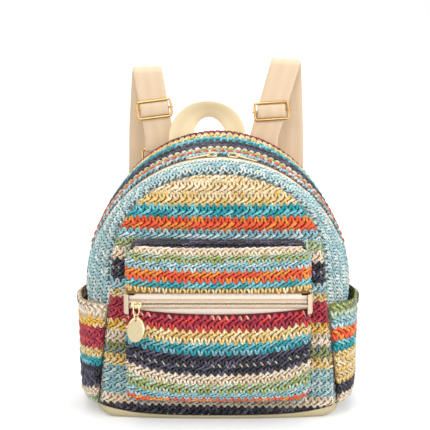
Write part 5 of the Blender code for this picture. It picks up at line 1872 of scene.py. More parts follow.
class Repeater:
    """Lays one small shape at many places, each with its own direction."""

    def tree(self) -> bpy.types.NodeTree:
        """Return the tree that lays the shape, made when it is first asked for."""
        if "repeat" in bpy.data.node_groups:
            return bpy.data.node_groups["repeat"]
        tree, given = Tree.group("repeat", {
            "Places": "Geometry", "Shape": "Object", "Size Change": "Float", "Seed": "Int",
            "Material": "Material"}, "Laid")
        shape = tree.geometry("ObjectInfo", {"Object": given["Shape"]}, "Geometry")
        align = "FunctionNodeAlignRotationToVector"
        turn = tree.value(align, {"Vector": tree.named("run")}, axis="X", pivot_axis="AUTO")
        turn = tree.value(align, {"Rotation": turn, "Vector": tree.named("out")}, axis="Z",
                          pivot_axis="X")
        change = given["Size Change"]
        laid = tree.geometry("InstanceOnPoints", {
            "Points": given["Places"], "Instance": shape, "Rotation": turn,
            "Scale": tree.random(1.0 - change, 1.0 + change, given["Seed"])})
        laid = tree.geometry("RealizeInstances", {"Geometry": laid})
        laid = tree.geometry("SetMaterial", {"Geometry": laid, "Material": given["Material"]})
        tree.add("NodeGroupOutput", {0: laid})
        return tree.nodes

    def lay(self, name: str, places: Sequence[Place], shape: bpy.types.Mesh, finish: Finish,
            change: float = 0.03, seed: int = 5) -> bpy.types.Mesh:
        """Lay a shape at places.

        Args:
            name: Name of the mesh.
            places: For each copy its place, the way its X axis runs and the way its Z axis points.
            shape: The shape's mesh.
            finish: Its finish.
            change: How much the copies' sizes differ.
            seed: Seed of the differences.

        Returns:
            One mesh of all copies.
        """
        mesh = new_mesh(name, [place[0] for place in places])
        for key, index in (("run", 1), ("out", 2)):
            layer = mesh.attributes.new(key, "FLOAT_VECTOR", "POINT")
            layer.data.foreach_set("vector", [value for place in places for value in place[index]])
        model = link_object("shape", shape)
        laid = laid_mesh(link_object(name, mesh), self.tree(), {
            "Shape": model, "Size Change": change, "Seed": seed, "Material": finish.material()})
        bpy.data.objects.remove(model, do_unlink=True)
        for face in laid.polygons:
            face.use_smooth = True
        return laid


REPEATER = Repeater()


@dataclass(frozen=True)
class Stitching:
    """A line of stitches: finish, length, gap, diameter, turn on the cloth and height over it."""

    finish: Finish = THREAD
    length: float = 0.0026
    gap: float = 0.0008
    diameter: float = 0.00055
    slant: float = 0.0
    rise: float = 0.0

    def mesh(self, path: Sequence[Vector], out: Callable[[Vector], Vector]) -> bpy.types.Mesh:
        """Sew the stitches.

        Args:
            path: The path on the cloth's surface.
            out: Gives the direction out of the cloth at a point.

        Returns:
            One mesh of all stitches.
        """
        arch = ((-0.5, -0.5), (-0.36, 0.25), (0.0, 0.4), (0.36, 0.25), (0.5, -0.5))
        shape = wire_mesh("stitch", [Vector((self.length * x, 0.0, self.diameter * z))
                                     for x, z in arch], self.diameter, resolution=1)
        if self.rise:
            path = [point + out(point) * self.rise for point in path]
        lengths = run_lengths(path)
        places = []
        count = max(int(lengths[-1] / (self.length + self.gap)), 1)
        for number in range(count):
            goal = (number + 0.5) * lengths[-1] / count
            index = max(i for i, value in enumerate(lengths[:-1]) if value <= goal)
            part = (goal - lengths[index]) / max(lengths[index + 1] - lengths[index], 1e-9)
            run = (path[index + 1] - path[index]).normalized()
            place = path[index].lerp(path[index + 1], part)
            up = out(place)
            places.append((place, Matrix.Rotation(math.radians(self.slant), 3, up) @ run, up))
        return REPEATER.lay("stitches", places, shape, self.finish)

    def add(self, name: str, path: Sequence[Vector], out: Callable[[Vector], Vector],
            slot: str) -> None:
        """Sew the stitches as a piece of their own on the bag."""
        add_piece(name, self.mesh(path, out), "bag", slot)


@dataclass(frozen=True)
class Refined:
    """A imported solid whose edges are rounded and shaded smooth."""

    bevel: float
    segments: int = 3

    def mesh(self, node: str, finish: Finish) -> bpy.types.Mesh:
        """Copy a node's mesh, weld it, round its edges and dress it.

        Args:
            node: Name of the node.
            finish: The finish.

        Returns:
            The rounded mesh, in world metres.
        """
        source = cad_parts[node]
        mesh = source.data.copy()
        mesh.transform(source.matrix_world)
        solid = bmesh.new()
        solid.from_mesh(mesh)
        bmesh.ops.remove_doubles(solid, verts=solid.verts, dist=0.000002)
        bmesh.ops.dissolve_limit(solid, angle_limit=math.radians(1.0), verts=solid.verts,
                                 edges=solid.edges)
        bmesh.ops.recalc_face_normals(solid, faces=solid.faces)
        solid.to_mesh(mesh)
        solid.free()
        carrier = link_object(node, mesh)
        change = carrier.modifiers.new("bevel", "BEVEL")
        change.width = self.bevel
        change.segments = self.segments
        change.limit_method = "ANGLE"
        change.angle_limit = math.radians(35)
        change.harden_normals = False
        return dressed(tidy_mesh(plain_mesh(carrier, node), 0.000001, 50.0), finish)

    def dress(self, name: str, node: str, body: str, slot: str, finish: Finish) -> None:
        """Add the rounded piece in the node's place."""
        add_piece(name, self.mesh(node, finish), body, slot, node)


@dataclass(frozen=True)
class Zip:
    """A coil zipper's coil, turn by turn."""

    pitch: float = 0.00135
    wire: float = 0.00074
    width: float = 0.0027
    height: float = 0.0021
    slot: float = 0.0010
    finish: CoilFinish = COIL

    def turn(self, side: float) -> bpy.types.Mesh:
        """Return one turn of the coil, which runs along X and stands up along Z.

        Args:
            side: Side of the slot, as a sign.

        Returns:
            The turn's mesh.
        """
        points = []
        for angle in arc(0, 315, 7):
            y = (math.cos(angle) * 0.5 + 0.5) * (self.width - self.wire)
            z = (math.sin(angle) * 0.5 + 0.5) * (self.height - self.wire)
            points.append(Vector((self.pitch * 0.32 * math.sin(angle),
                                  side * (self.slot / 2 + self.wire / 2 + y), z + self.wire / 2)))
        return wire_mesh("turn", points, self.wire, True, 1)

    def coil(self, places: Sequence[Place], side: float) -> bpy.types.Mesh:
        """Lay a row of turns."""
        return REPEATER.lay("coil", places, self.turn(side), self.finish, 0.0)


ZIP = Zip()
POCKET_COIL = Zip(0.0019, 0.00140, finish=COIL_PALE)


@dataclass
class MainZip:
    """The zipper over the bag's arch, with its sliders and pulls."""

    foot_share: float = 0.19 * 0.003 / 0.113
    drop: float = FORM.wall + SEAM_GAP + 0.0005
    tape_wall: float = 0.0005
    rear_levels: tuple = ((0.0005, 0.0), (0.0030, 0.0001), (0.0040, 0.0010), (0.0046, 0.0018),
                          (0.0082, 0.0018))
    ribbon: tuple = ((1.0, 0.0002), (0.66, 0.0006), (0.33, 0.0010), (0.06, 0.0015), (0.0, 0.0004))

    def frame(self, share: float) -> tuple[Vector, Vector]:
        """Return the zipper's line and its outward direction at a share of the arch.

        Args:
            share: Share of the arch, from 0 at its left foot to 1 at its right foot.

        Returns:
            The place and the direction.
        """
        x, z = FORM.zip.point(share)
        out = Vector((math.copysign(1.0, x), 0.0, 0.0))
        if FORM.zip.leg_share < share < 1 - FORM.zip.leg_share:
            out = Vector((x, 0.0, z - FORM.zip.spring_z)).normalized()
        return Vector((x, FORM.zip.y, z)), out

    def build(self) -> None:
        """Build coils and tapes, and dress the metal."""
        shares = [self.foot_share + (1 - 2 * self.foot_share) * i / 600 for i in range(601)]
        lines = [self.frame(share) for share in shares]
        feet = [place - out * (self.drop - SEAM_GAP) for place, out in lines]
        lengths = np.array(run_lengths(feet))
        count = int(lengths[-1] / ZIP.pitch)
        for side, name, shift in ((-1.0, "front", 0.25), (1.0, "rear", 0.75)):
            places = []
            for number in range(count):
                goal = (number + shift) * lengths[-1] / count
                index = min(int(np.searchsorted(lengths, goal)), len(feet) - 1)
                run = (feet[index] - feet[index - 1]).normalized()
                places.append((feet[index], run, lines[index][1]))
            add_piece(f"main_zip_coil_{name}", ZIP.coil(places, side), "bag", "coil",
                      f"main_coil_{name}")
            tape = self._ribbon(shares[::4]) if side < 0 else self._tape(lines[::4])
            add_piece(f"main_zip_tape_{name}", tape, "bag", "zip_tape", f"main_tape_{name}")
        for side in ("left", "right"):
            for part, body, bevel in (("slider", "slider", 0.00030), ("pull", "puller", 0.00028)):
                Refined(bevel).dress(f"main_zip_{part}_{side}", f"main_{part}_{side}",
                                     f"{body}_{side}", "pale_gold", GOLD)

    def _ribbon(self, shares: list[float]) -> bpy.types.Mesh:
        """Build the front tape: it climbs from its coil and lies on the gusset as a pale band.

        Args:
            shares: The shares of the arch at which it has points.

        Returns:
            The tape's mesh.
        """
        points, edge = [], []
        for share in shares:
            place, out = self.frame(share)
            points += [place - out * drop + Vector((0.0, -y, 0.0))
                       for y, drop in ((0.0005, self.drop), (0.0030, self.drop), (0.0038, 0.0012))]
            last = FORM.straw_part(share)
            for part, rise in self.ribbon:
                part = last + (1 - last) * part
                points.append(FORM.front_gusset_point(share, part)
                              + FORM.gusset_out(share, part) * rise)
            edge.append(points[-2] + FORM.gusset_out(share, last) * 0.0001)
        faces = strip_faces(len(shares), len(points) // len(shares))
        mesh = face_outward(new_mesh("tape", points, faces), FORM.radial)
        ribbon = dressed(walled_mesh(mesh, self.tape_wall, 70.0), MAIN_TAPE)
        seam = dressed(wire_mesh("edge", edge, 0.0008, resolution=1), THREAD)
        return join_meshes("tape", [ribbon, seam])

    def _tape(self, lines: list[tuple[Vector, Vector]]) -> bpy.types.Mesh:
        """Build the rear tape, which climbs from under its coil to the cloth's edge.

        Args:
            lines: The zipper's line and outward direction, step by step.

        Returns:
            The tape's mesh.
        """
        ring = [(y, self.drop - level + drop) for drop in (0.0, self.tape_wall)
                for y, level in self.rear_levels[::-1 if drop else 1]]
        points = [place - out * depth + Vector((0.0, y, 0.0))
                  for place, out in lines for y, depth in ring]
        mesh = new_mesh("tape", points, strip_faces(len(lines), len(ring), True, True))
        return dressed(tidy_mesh(mesh, FINE_WELD), MAIN_TAPE)


@dataclass
class PocketZip:
    """The pocket's zipper with its end tabs, its slider and the disc that hangs from it."""

    slider_x: float = -0.0770
    tilt: float = 22.0
    link_yaw: float = -40.0
    ring_yaw: float = 48.0
    disc_yaw: float = -47.0
    link_wire: float = 0.0012
    link_width: float = 0.0084
    link_length: float = 0.0125
    ring_wire: float = 0.0011
    ring_diameter: float = 0.0062
    disc_diameter: float = 0.0240
    disc_thickness: float = 0.0020
    hole: float = 0.0032
    hole_inset: float = 0.0028
    run_gap: float = 0.0004
    plate: float = 0.0010
    window: float = 0.0025
    bar: float = 0.0013
    coil_height: float = 0.0023
    end_gap: float = 0.0012
    seam_z: float = 0.0044
    disc_profile: tuple = ((0.80, 0.72), (0.90, 0.74), (0.94, 0.98), (0.98, 0.92), (1.0, 0.5))

    def build(self) -> None:
        """Build the coils, dress the tapes and tabs, and hang the chain."""
        half = POCKET.half - POCKET.wall - self.end_gap
        foot_y = POCKET.face + POCKET.wall
        count = int(2 * half / POCKET_COIL.pitch)
        for side, name, shift in ((1.0, "upper", 0.25), (-1.0, "lower", 0.75)):
            places = [(Vector((-half + (n + shift) * 2 * half / count, foot_y, POCKET.zip_z)),
                       RIGHT, FORWARD) for n in range(count)]
            add_piece(f"pocket_zip_coil_{name}", POCKET_COIL.coil(places, side), "bag", "coil",
                      f"pocket_coil_{name}")
            tape = Refined(0.0001, 1).mesh(f"pocket_tape_{name}", TAPE)
            line = [Vector((x, foot_y, POCKET.zip_z + side * self.seam_z))
                    for x in spread(-half, half, 0.01)]
            seam = Stitching(COIL, 0.0016, 0.0002, 0.0005).mesh(line, lambda point: FORWARD)
            add_piece(f"pocket_zip_tape_{name}", join_meshes("tape", [tape, seam]), "bag",
                      "zip_tape", f"pocket_tape_{name}")
        for name in ("left", "right"):
            Refined(0.00035).dress(f"pocket_zip_tab_{name}", f"pocket_tab_{name}", "bag",
                                   "base_cloth", TAB_CLOTH)
        Refined(0.00030).dress("pocket_zip_slider", "pocket_slider", "zip_slider", "pale_gold",
                               GOLD)
        self._chain()

    def _chain(self) -> None:
        """Hang the link, the ring and the disc, each square to the one above it."""
        crest = -(POCKET.wall + SEAM_GAP) + SEAM_GAP + self.coil_height
        bar_z = crest + self.run_gap + self.plate + self.window + self.bar / 2
        place = Matrix.Translation((self.slider_x, POCKET.face, POCKET.zip_z))
        place = place @ Matrix.Rotation(math.pi / 2, 4, "X") @ Matrix.Translation((0, 0, bar_z))
        place = place @ Matrix.Rotation(math.radians(-90 - self.tilt), 4, "X")

        radius = (self.link_width - self.link_wire) / 2
        straight = (self.link_length - self.link_width) / 2
        drop = self.link_length / 2 - self.link_wire - self.bar * 0.75 - self.run_gap
        loop = [Vector((radius * math.cos(a), 0.0, middle - drop + radius * math.sin(a)))
                for start, middle in ((0, straight), (180, -straight)) for a in arc(start, 180, 12)]
        self._hang("link", wire_mesh("link", loop, self.link_wire, True), place, self.link_yaw)

        low = -drop - self.link_length / 2 + self.link_wire / 2
        place = place @ Matrix.Translation((0, 0, low))
        radius = (self.ring_diameter - self.ring_wire) / 2
        drop = radius - self.ring_wire / 2 - self.link_wire / 2 - self.run_gap
        loop = [Vector((radius * math.cos(a), 0.0, radius * math.sin(a) - drop))
                for a in arc(0, 350, 35)]
        self._hang("ring", wire_mesh("ring", loop, self.ring_wire, True), place, self.ring_yaw)

        place = place @ Matrix.Translation((0, 0, -drop - radius))
        centre = self.hole / 2 - self.ring_wire / 2 - self.run_gap + self.disc_diameter / 2
        disc = self._disc()
        disc.transform(Matrix.Translation((0, 0, self.hole_inset - centre)))
        self._hang("disc", disc, place, self.disc_yaw)

    def _disc(self) -> bpy.types.Mesh:
        """Return the disc, which stands in the XZ plane, with a low rim and a hole at its top."""
        radius, thick, steps = self.disc_diameter / 2, self.disc_thickness / 2, 64
        profile = [(share, thick * depth) for share, depth in self.disc_profile]
        profile += [(share, -depth) for share, depth in reversed(profile)]
        middle = radius - self.hole_inset
        points = []
        for share, depth in profile:
            for step in range(steps):
                angle = 2 * math.pi * step / steps
                x, z = math.cos(angle) * radius * share, math.sin(angle) * radius * share
                off = Vector((x, z - middle))
                if off.length < self.hole / 2:
                    off = off.normalized() * (self.hole / 2)
                    x, z = off.x, off.y + middle
                points.append((x, -depth, z))
        disc = tidy_mesh(new_mesh("disc", points, strip_faces(len(profile), steps, True, True)),
                         0.000001, 60.0)
        return self._pierced(disc, middle)

    def _pierced(self, mesh: bpy.types.Mesh, middle: float) -> bpy.types.Mesh:
        """Cut the disc's hole.

        Args:
            mesh: The whole disc.
            middle: Height of the hole's middle.

        Returns:
            The disc with its hole.
        """
        drill = bmesh.new()
        bmesh.ops.create_cone(drill, cap_ends=True, segments=24, radius1=self.hole / 2,
                              radius2=self.hole / 2, depth=0.01,
                              matrix=Matrix.Translation((0, 0, middle))
                              @ Matrix.Rotation(math.pi / 2, 4, "X"))
        tool_mesh = bpy.data.meshes.new("drill")
        drill.to_mesh(tool_mesh)
        drill.free()
        carrier, tool = link_object("disc", mesh), link_object("drill", tool_mesh)
        cut = carrier.modifiers.new("hole", "BOOLEAN")
        cut.operation = "DIFFERENCE"
        cut.solver = "EXACT"
        cut.object = tool
        mesh = plain_mesh(carrier)
        bpy.data.objects.remove(tool, do_unlink=True)
        return tidy_mesh(mesh, 0.000001, 35.0)

    def _hang(self, part: str, mesh: bpy.types.Mesh, place: Matrix, yaw: float) -> None:
        """Put a link of the chain in its place."""
        mesh.transform(place @ Matrix.Rotation(math.radians(yaw), 4, "Z"))
        add_piece(f"pull_{part}_gold", dressed(mesh, GOLD), part, "pale_gold", f"pull_{part}")


def back_seat(x: float, z: float, width: float = 0.0300) -> float:
    """Return the depth of a webbing layer that lies on the back panel."""
    return FORM.back_face_y(max(abs(x) - width / 2, 0.0), z) + 0.0006 + SEAM_GAP + 0.0007


def box_stitches(x: float, face: float, low: float, high: float, width: float) -> bpy.types.Mesh:
    """Sew a crossed box on a face that looks along +Y.

    Args:
        x: Middle of the box.
        face: Depth of the face.
        low: Height of the box's lower side.
        high: Height of its upper side.
        width: Its width.

    Returns:
        The stitches' mesh.
    """
    corners = [Vector((x + side * width / 2, face, z)) for side, z in
               ((-1, low), (1, low), (1, high), (-1, high))]
    return join_meshes("box", [Stitching().mesh([corners[a], corners[b]], lambda point: BACKWARD)
                               for a, b in ((0, 1), (1, 2), (2, 3), (3, 0), (0, 2), (3, 1))])


def eased(share: float) -> float:
    """Return a share from 0 to 1 that starts and ends gently."""
    return share * share * (3 - 2 * share)


@dataclass(frozen=True)
class Strap:
    """One shoulder strap with its tabs, its ring and its adjuster."""

    name: str
    foot_x: float
    top_x: float
    top_z: float
    frame_z: float
    frame_tilt: float
    rear_x: float
    lower_x: float
    top_tilt: float
    section: Section = Section()
    ring_bar: float = 0.0028
    ring_z: float = 0.2330
    ring_spacing: float = 0.0110
    tab_drop: float = 0.0300
    tab_width: float = 0.0294
    frame_wire: float = 0.0026
    frame_height: float = 0.0200
    frame_bow: float = 0.0024
    bar_wire: float = 0.0014
    return_foot: float = 0.2520
    foot_z: float = 0.2560
    loop_depth: float = 0.0130
    tilt_start: float = 0.2900
    ridge: float = 0.0006
    blend_start: float = 0.2530
    fold: Section = Section(0.0286, 0.0009)

    @property
    def side(self) -> float:
        """Side of the bag, as a sign of X."""
        return math.copysign(1.0, self.foot_x)

    @property
    def lean(self) -> float:
        """Sideways run of the straight front leg for each metre up."""
        return (self.top_x - self.foot_x) / (self.top_z - self.foot_z)

    @property
    def wrap(self) -> float:
        """Radius at which webbing goes round a ring's bar."""
        return self.ring_bar / 2 + SEAM_GAP + self.section.thickness / 2

    @property
    def bar_wrap(self) -> float:
        """Radius at which webbing goes round the adjuster's bar."""
        return self.bar_wire / 2 + SEAM_GAP + self.section.thickness / 2

    @property
    def ring_y(self) -> float:
        """Depth of the ring's bars."""
        reach = 1.5 * self.frame_wire + 2 * SEAM_GAP + self.bar_wire
        return back_seat(-0.0096, 0.2400) + reach + self.section.thickness + SEAM_GAP + self.wrap

    @property
    def leg_y(self) -> float:
        """Depth of the front leg."""
        return self.ring_y - self.wrap

    @property
    def bar_y(self) -> float:
        """Depth of the adjuster's bar."""
        return self.leg_y + self.section.thickness + SEAM_GAP + self.bar_wrap

    @property
    def lower_seat(self) -> float:
        """Depth of the webbing's lower end."""
        inner = abs(self.lower_x) - self.section.width * 0.62
        return FORM.back_face_y(inner, 0.027) + self.ridge + 2 * SEAM_GAP + 0.0020 + 0.0007

    def leg_x(self, z: float) -> float:
        """Return the front leg's middle at a height."""
        return self.foot_x + self.lean * (z - self.foot_z)

    def placed(self, y: float) -> Matrix:
        """Return the adjuster's place, at a depth."""
        return (Matrix.Translation((self.leg_x(self.frame_z), y, self.frame_z))
                @ Matrix.Rotation(math.radians(self.frame_tilt), 4, "Y"))

    def build(self) -> None:
        """Build the strap and everything on it."""
        self._top_tab()
        self._ring()
        self._webbing()
        self._lower_tab()
        self._adjuster()
        self._return()

    def _web(self, part: str, mesh: bpy.types.Mesh, extra: bpy.types.Mesh) -> None:
        """Add a strip of webbing with what is sewn on it."""
        mesh = join_meshes(f"{part}_{self.name}_web", [dressed(mesh, WEBBING), extra])
        add_piece(f"{part}_{self.name}_web", mesh, "bag", "webbing", f"{part}_{self.name}")

    def _metal(self, part: str, mesh: bpy.types.Mesh, body: str) -> None:
        """Add a piece of bent wire."""
        # The wire gets the gold with painted dark reflections.
        add_piece(f"{part}_{self.name}_gold", dressed(mesh, DARK_REFLECTION_GOLD), body, "pale_gold",
                  f"{part}_{self.name}")

    def _top_tab(self) -> None:
        """Build the tab that holds the ring on the bag's back, sewn down with a crossed box."""
        low, rear = self.ring_z - self.tab_drop, self.ring_y + self.wrap
        seat = back_seat(self.foot_x, low)
        places = [(seat, low), (seat + 0.0006, low + 0.012)]
        places += [(self.ring_y - self.wrap * math.cos(a), self.ring_z + self.wrap * math.sin(a))
                   for a in arc(0, 180, 14)]
        places += [(rear, self.ring_z - self.tab_drop * share) for share in (0.25, 0.6)]
        path = [Vector((self.foot_x, y, z)) for y, z in places]
        box = box_stitches(self.foot_x, rear + self.section.thickness / 2,
                           self.ring_z - self.tab_drop * 0.58, self.ring_z - self.tab_drop * 0.18,
                           0.024)
        count = len(path)
        self._web("strap_top_tab", self.section.sweep("tab", path, [RIGHT] * count,
                                                      [self.tab_width] * count), box)

    def _ring(self) -> None:
        """Build the rectangle of wire that joins the tab and the webbing."""
        bend = self.ring_bar * 0.75
        half = self.section.width / 2 + SEAM_GAP + bend
        top = self.ring_z + self.ring_spacing
        loop = []
        for x, z, start in ((half, top, 0), (-half, top, 90), (-half, self.ring_z, 180),
                            (half, self.ring_z, 270)):
            centre = Vector((self.foot_x + x - math.copysign(bend, x), self.ring_y,
                             z - bend if z == top else z + bend))
            loop += [centre + Vector((bend * math.cos(a), 0.0, bend * math.sin(a)))
                     for a in arc(start, 90, 6)]
        self._metal("strap_ring", wire_mesh("ring", loop, self.ring_bar, True, 5), "bag")

    def _webbing(self) -> None:
        """Build the webbing: round the ring, up the front, over the loop and down the back."""
        top = self.ring_z + self.ring_spacing
        path = [Vector((self.foot_x, self.ring_y + self.wrap, z))
                for z in (self.return_foot, self.return_foot - 0.004)]
        path += [Vector((self.foot_x, self.ring_y + self.wrap * math.cos(a),
                         top - self.wrap * math.sin(a))) for a in arc(0, 180, 14)]
        path += [Vector((self.leg_x(max(z, self.foot_z)), self.leg_y, z))
                 for z in spread(self.return_foot, self.top_z - self.loop_depth, 0.004)]
        radius = self.loop_depth / 2
        turn_z = self.top_z - radius
        for angle in arc(0, 180, 20):
            z = turn_z + radius * math.sin(angle)
            x = (self.leg_x(z) if angle <= math.pi / 2
                 else self.top_x + self.side * 0.0010 * (1 - math.sin(angle)))
            path.append(Vector((x, self.leg_y + radius - radius * math.cos(angle), z)))
        rear, seat, side = self.leg_y + self.loop_depth, self.lower_seat, self.side
        middle = self.top_x + (self.rear_x - self.top_x) * 0.5
        knots = [(middle, rear + 0.001, turn_z - 0.020), (self.rear_x, rear + 0.004, 0.262),
                 (self.rear_x + side * 0.001, rear + 0.006, 0.220),
                 (self.rear_x + side * 0.005, rear + 0.004, 0.150),
                 (self.lower_x - side * 0.002, rear - 0.003, 0.090),
                 (self.lower_x, seat + 0.003, 0.052), (self.lower_x, seat, 0.038),
                 (self.lower_x, seat, 0.020)]
        path += smooth_path([path[-1], *(Vector(knot) for knot in knots)])[1:]
        across = []
        for point in path:
            share = (point.z - self.tilt_start) / (turn_z - self.tilt_start)
            share = min(max(share, 0.0), 1.0)
            tilt = math.radians(self.top_tilt) * share * share * (3 - 2 * share)
            across.append(Vector((math.cos(tilt), 0.0, math.sin(tilt))))
        box = box_stitches(self.lower_x, seat + self.section.thickness / 2, 0.023, 0.038, 0.023)
        self._web("strap", self.section.sweep("strap", path, across), box)

    def _lower_tab(self) -> None:
        """Dress the patch that holds the webbing's lower end."""
        node = f"strap_lower_tab_{self.name}"
        patch = Refined(0.0004).mesh(node, WEBBING)
        set_band(patch, [(vertex.co.z, vertex.co.x) for vertex in patch.vertices])
        add_piece(f"{node}_web", patch, "bag", "webbing", node)

    def _adjuster(self) -> None:
        """Build the sliding frame and the bar behind the webbing."""
        place, body = self.placed(self.leg_y), f"adjuster_{self.name}"
        half = self.section.width / 2
        frame_y = -self.section.thickness / 2 - SEAM_GAP - self.frame_wire / 2
        rise = (self.frame_height - self.frame_wire) / 2
        loop = []
        for sign in (1.0, -1.0):
            for a in arc(90, -180, 20):
                bow = self.frame_bow * max(math.cos(a), 0.0) ** 0.5
                loop.append(Vector((sign * (half + bow), frame_y, sign * rise * math.sin(a))))
        eye = half + self.frame_bow
        curl = self.frame_wire / 2 + SEAM_GAP + self.bar_wire / 2
        arm = [Vector((half + 0.0004, self.bar_y - self.leg_y, 0.0))]
        arm += [Vector((eye + curl * math.cos(a), frame_y + curl * math.sin(a), 0.0))
                for a in arc(120, -270, 18)]
        bar = [Vector((-p.x, p.y, p.z)) for p in reversed(arm)] + arm
        for part, mesh in (("frame", wire_mesh("frame", loop, self.frame_wire, True, 5)),
                           ("bar", wire_mesh("bar", bar, self.bar_wire))):
            mesh.transform(place)
            self._metal(f"adjuster_{part}", mesh, body)
        reach = rise - self.frame_wire / 2 - 0.0004
        path = [Vector((0.0, frame_y + 0.0021 - 0.0026 * math.sin(a) ** 0.7, -reach * math.cos(a)))
                for a in arc(0, 180, 16)]
        mesh = self.fold.sweep("fold", path, [RIGHT] * len(path))
        mesh.transform(place)
        add_piece(f"adjuster_fold_{self.name}_web", dressed(mesh, WEBBING), body, "webbing")

    def _return(self) -> None:
        """Build the layer that goes from the adjuster's bar down to the webbing's end."""
        place, wrap = self.placed(0.0), self.bar_wrap
        steps = [(self.bar_y - wrap, -0.009), (self.bar_y - wrap, -0.004)]
        steps += [(self.bar_y - wrap * math.cos(a), wrap * math.sin(a)) for a in arc(0, 180, 12)]
        slanted = place.to_3x3() @ RIGHT
        path = [place @ Vector((0.0, y, z)) for y, z in steps]
        across = [slanted] * len(path)
        start, end_z = path[-1], self.return_foot + SEAM_GAP
        for z in spread(start.z - 0.004, end_z, 0.003):
            ease = eased(min((start.z - z) / (start.z - end_z - 0.008), 1.0))
            y = start.y + (self.ring_y + self.wrap - start.y) * ease
            path.append(Vector((self.leg_x(z), y, z)))
            across.append(slanted.lerp(RIGHT, ease).normalized())
        widths = [self.section.width - 4 * SEAM_GAP] * len(path)
        mesh = dressed(self.section.sweep("return", path, across, widths), WEBBING)
        piece = link_object(f"strap_return_{self.name}_web", mesh)
        self.leg_x(self.blend_start)
        self.ring_y
        self.ring_y
        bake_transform(piece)
        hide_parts(f"strap_return_{self.name}")


@dataclass
class Handle:
    """The flared carry loop, whose outer edge leans forward at the top."""

    middle_x: float = -0.0096
    half_span: float = 0.0284
    foot_z: float = 0.2400
    spring_z: float = 0.2560
    top_z: float = 0.2872
    left_width: float = 0.0250
    right_width: float = 0.0200
    tilt: float = 36.0

    def build(self) -> None:
        """Build the loop as one smooth band."""
        seat = back_seat(self.middle_x, self.foot_z)
        path, across, widths = [], [], []
        steps, feet = 64, 6
        for step in range(-feet, steps + feet + 1):
            turn = min(max(step, 0), steps)
            angle = math.pi * turn / steps
            down = (self.spring_z - self.foot_z) * abs(step - turn) / feet
            x = self.middle_x - self.half_span * math.cos(angle)
            z = self.spring_z + (self.top_z - self.spring_z) * math.sin(angle) - down
            lean = math.radians(self.tilt) * math.sin(angle) ** 2
            inward = Vector((math.cos(angle), 0.0, -math.sin(angle)))
            path.append(Vector((x, seat, z)))
            across.append((inward * math.cos(lean) + Vector((0, math.sin(lean), 0))).normalized())
            widths.append(self.left_width + (self.right_width - self.left_width) * turn / steps)
        mesh = dressed(Section().sweep("loop", path, across, widths), LOOP_WEBBING)
        add_piece("handle_web", mesh, "bag", "webbing", "handle")


STRAPS = (Strap("left", -0.0600, -0.0726, 0.3292, 0.2862, -7.3, -0.0775, -0.0900, 2.0),
          Strap("right", 0.0472, 0.0700, 0.3372, 0.2842, -3.8, 0.0740, 0.0900, -5.0))


@dataclass
class BaseTray:
    """The cloth base: a thin rim under the walls, rolled under, most of all at its corners."""

    roll: float = 0.0070
    corner_roll: float = 0.0120
    wall: float = 0.0012
    drop: float = 0.0006

    def rim(self) -> list[Vector]:
        """Return the right half of the walls' lower edge, from the front's middle to the back's."""
        back_z = FORM.back.foot_z
        rim = []
        for x in spread(0.0, FORM.front.half_width(FORM.front.foot_z, FORM.roll), 0.006):
            z = FORM.foot_z(x)
            rim.append(Vector((x, FORM.front_face_y(x, z), z)))
        rim += [FORM.front_gusset_point(1.0, part) for part in spread(0.0, 1.0, 0.125)]
        rim += [FORM.rear_gusset_point(1.0, y)
                for y in spread(FORM.zip_rear, FORM.back.y - FORM.strip, 0.006)]
        return rim + [Vector((x, FORM.back_face_y(x, back_z), back_z))
                      for x in spread(FORM.back.half_width(back_z, FORM.roll), 0.0, 0.006)]

    def build(self) -> None:
        """Build the tray as one thin closed wall."""
        right = self.rim()
        rim = right + [Vector((-p.x, p.y, p.z)) for p in reversed(right[1:-1])]
        middle = (min(p.y for p in rim) + max(p.y for p in rim)) / 2
        reach_x, reach_y = max(p.x for p in rim), max(p.y for p in rim) - middle
        levels = arc(0, 90, 8)
        points = []
        for angle in levels:
            for point in rim:
                corner = (abs(point.x) / reach_x) * (abs(point.y - middle) / reach_y)
                inset = self.roll + self.corner_roll * corner ** 3
                inward = Vector((-point.x, middle - point.y, 0.0)).normalized()
                place = point + inward * inset * (1 - math.cos(angle))
                place.z = (point.z - self.drop) * (1 - math.sin(angle))
                points.append(place)
        faces = strip_faces(len(levels), len(rim), True)
        faces.append(tuple(range(len(points) - len(rim), len(points))))
        mesh = tidy_mesh(new_mesh("tray", points, faces), FINE_WELD, 60.0)
        if mesh.polygons[-1].normal.z > 0:
            mesh.flip_normals()
        mesh = dressed(walled_mesh(mesh, self.wall, 60.0), CLOTH)
        add_piece("base_tray", mesh, "bag", "base_cloth", "base_panel")


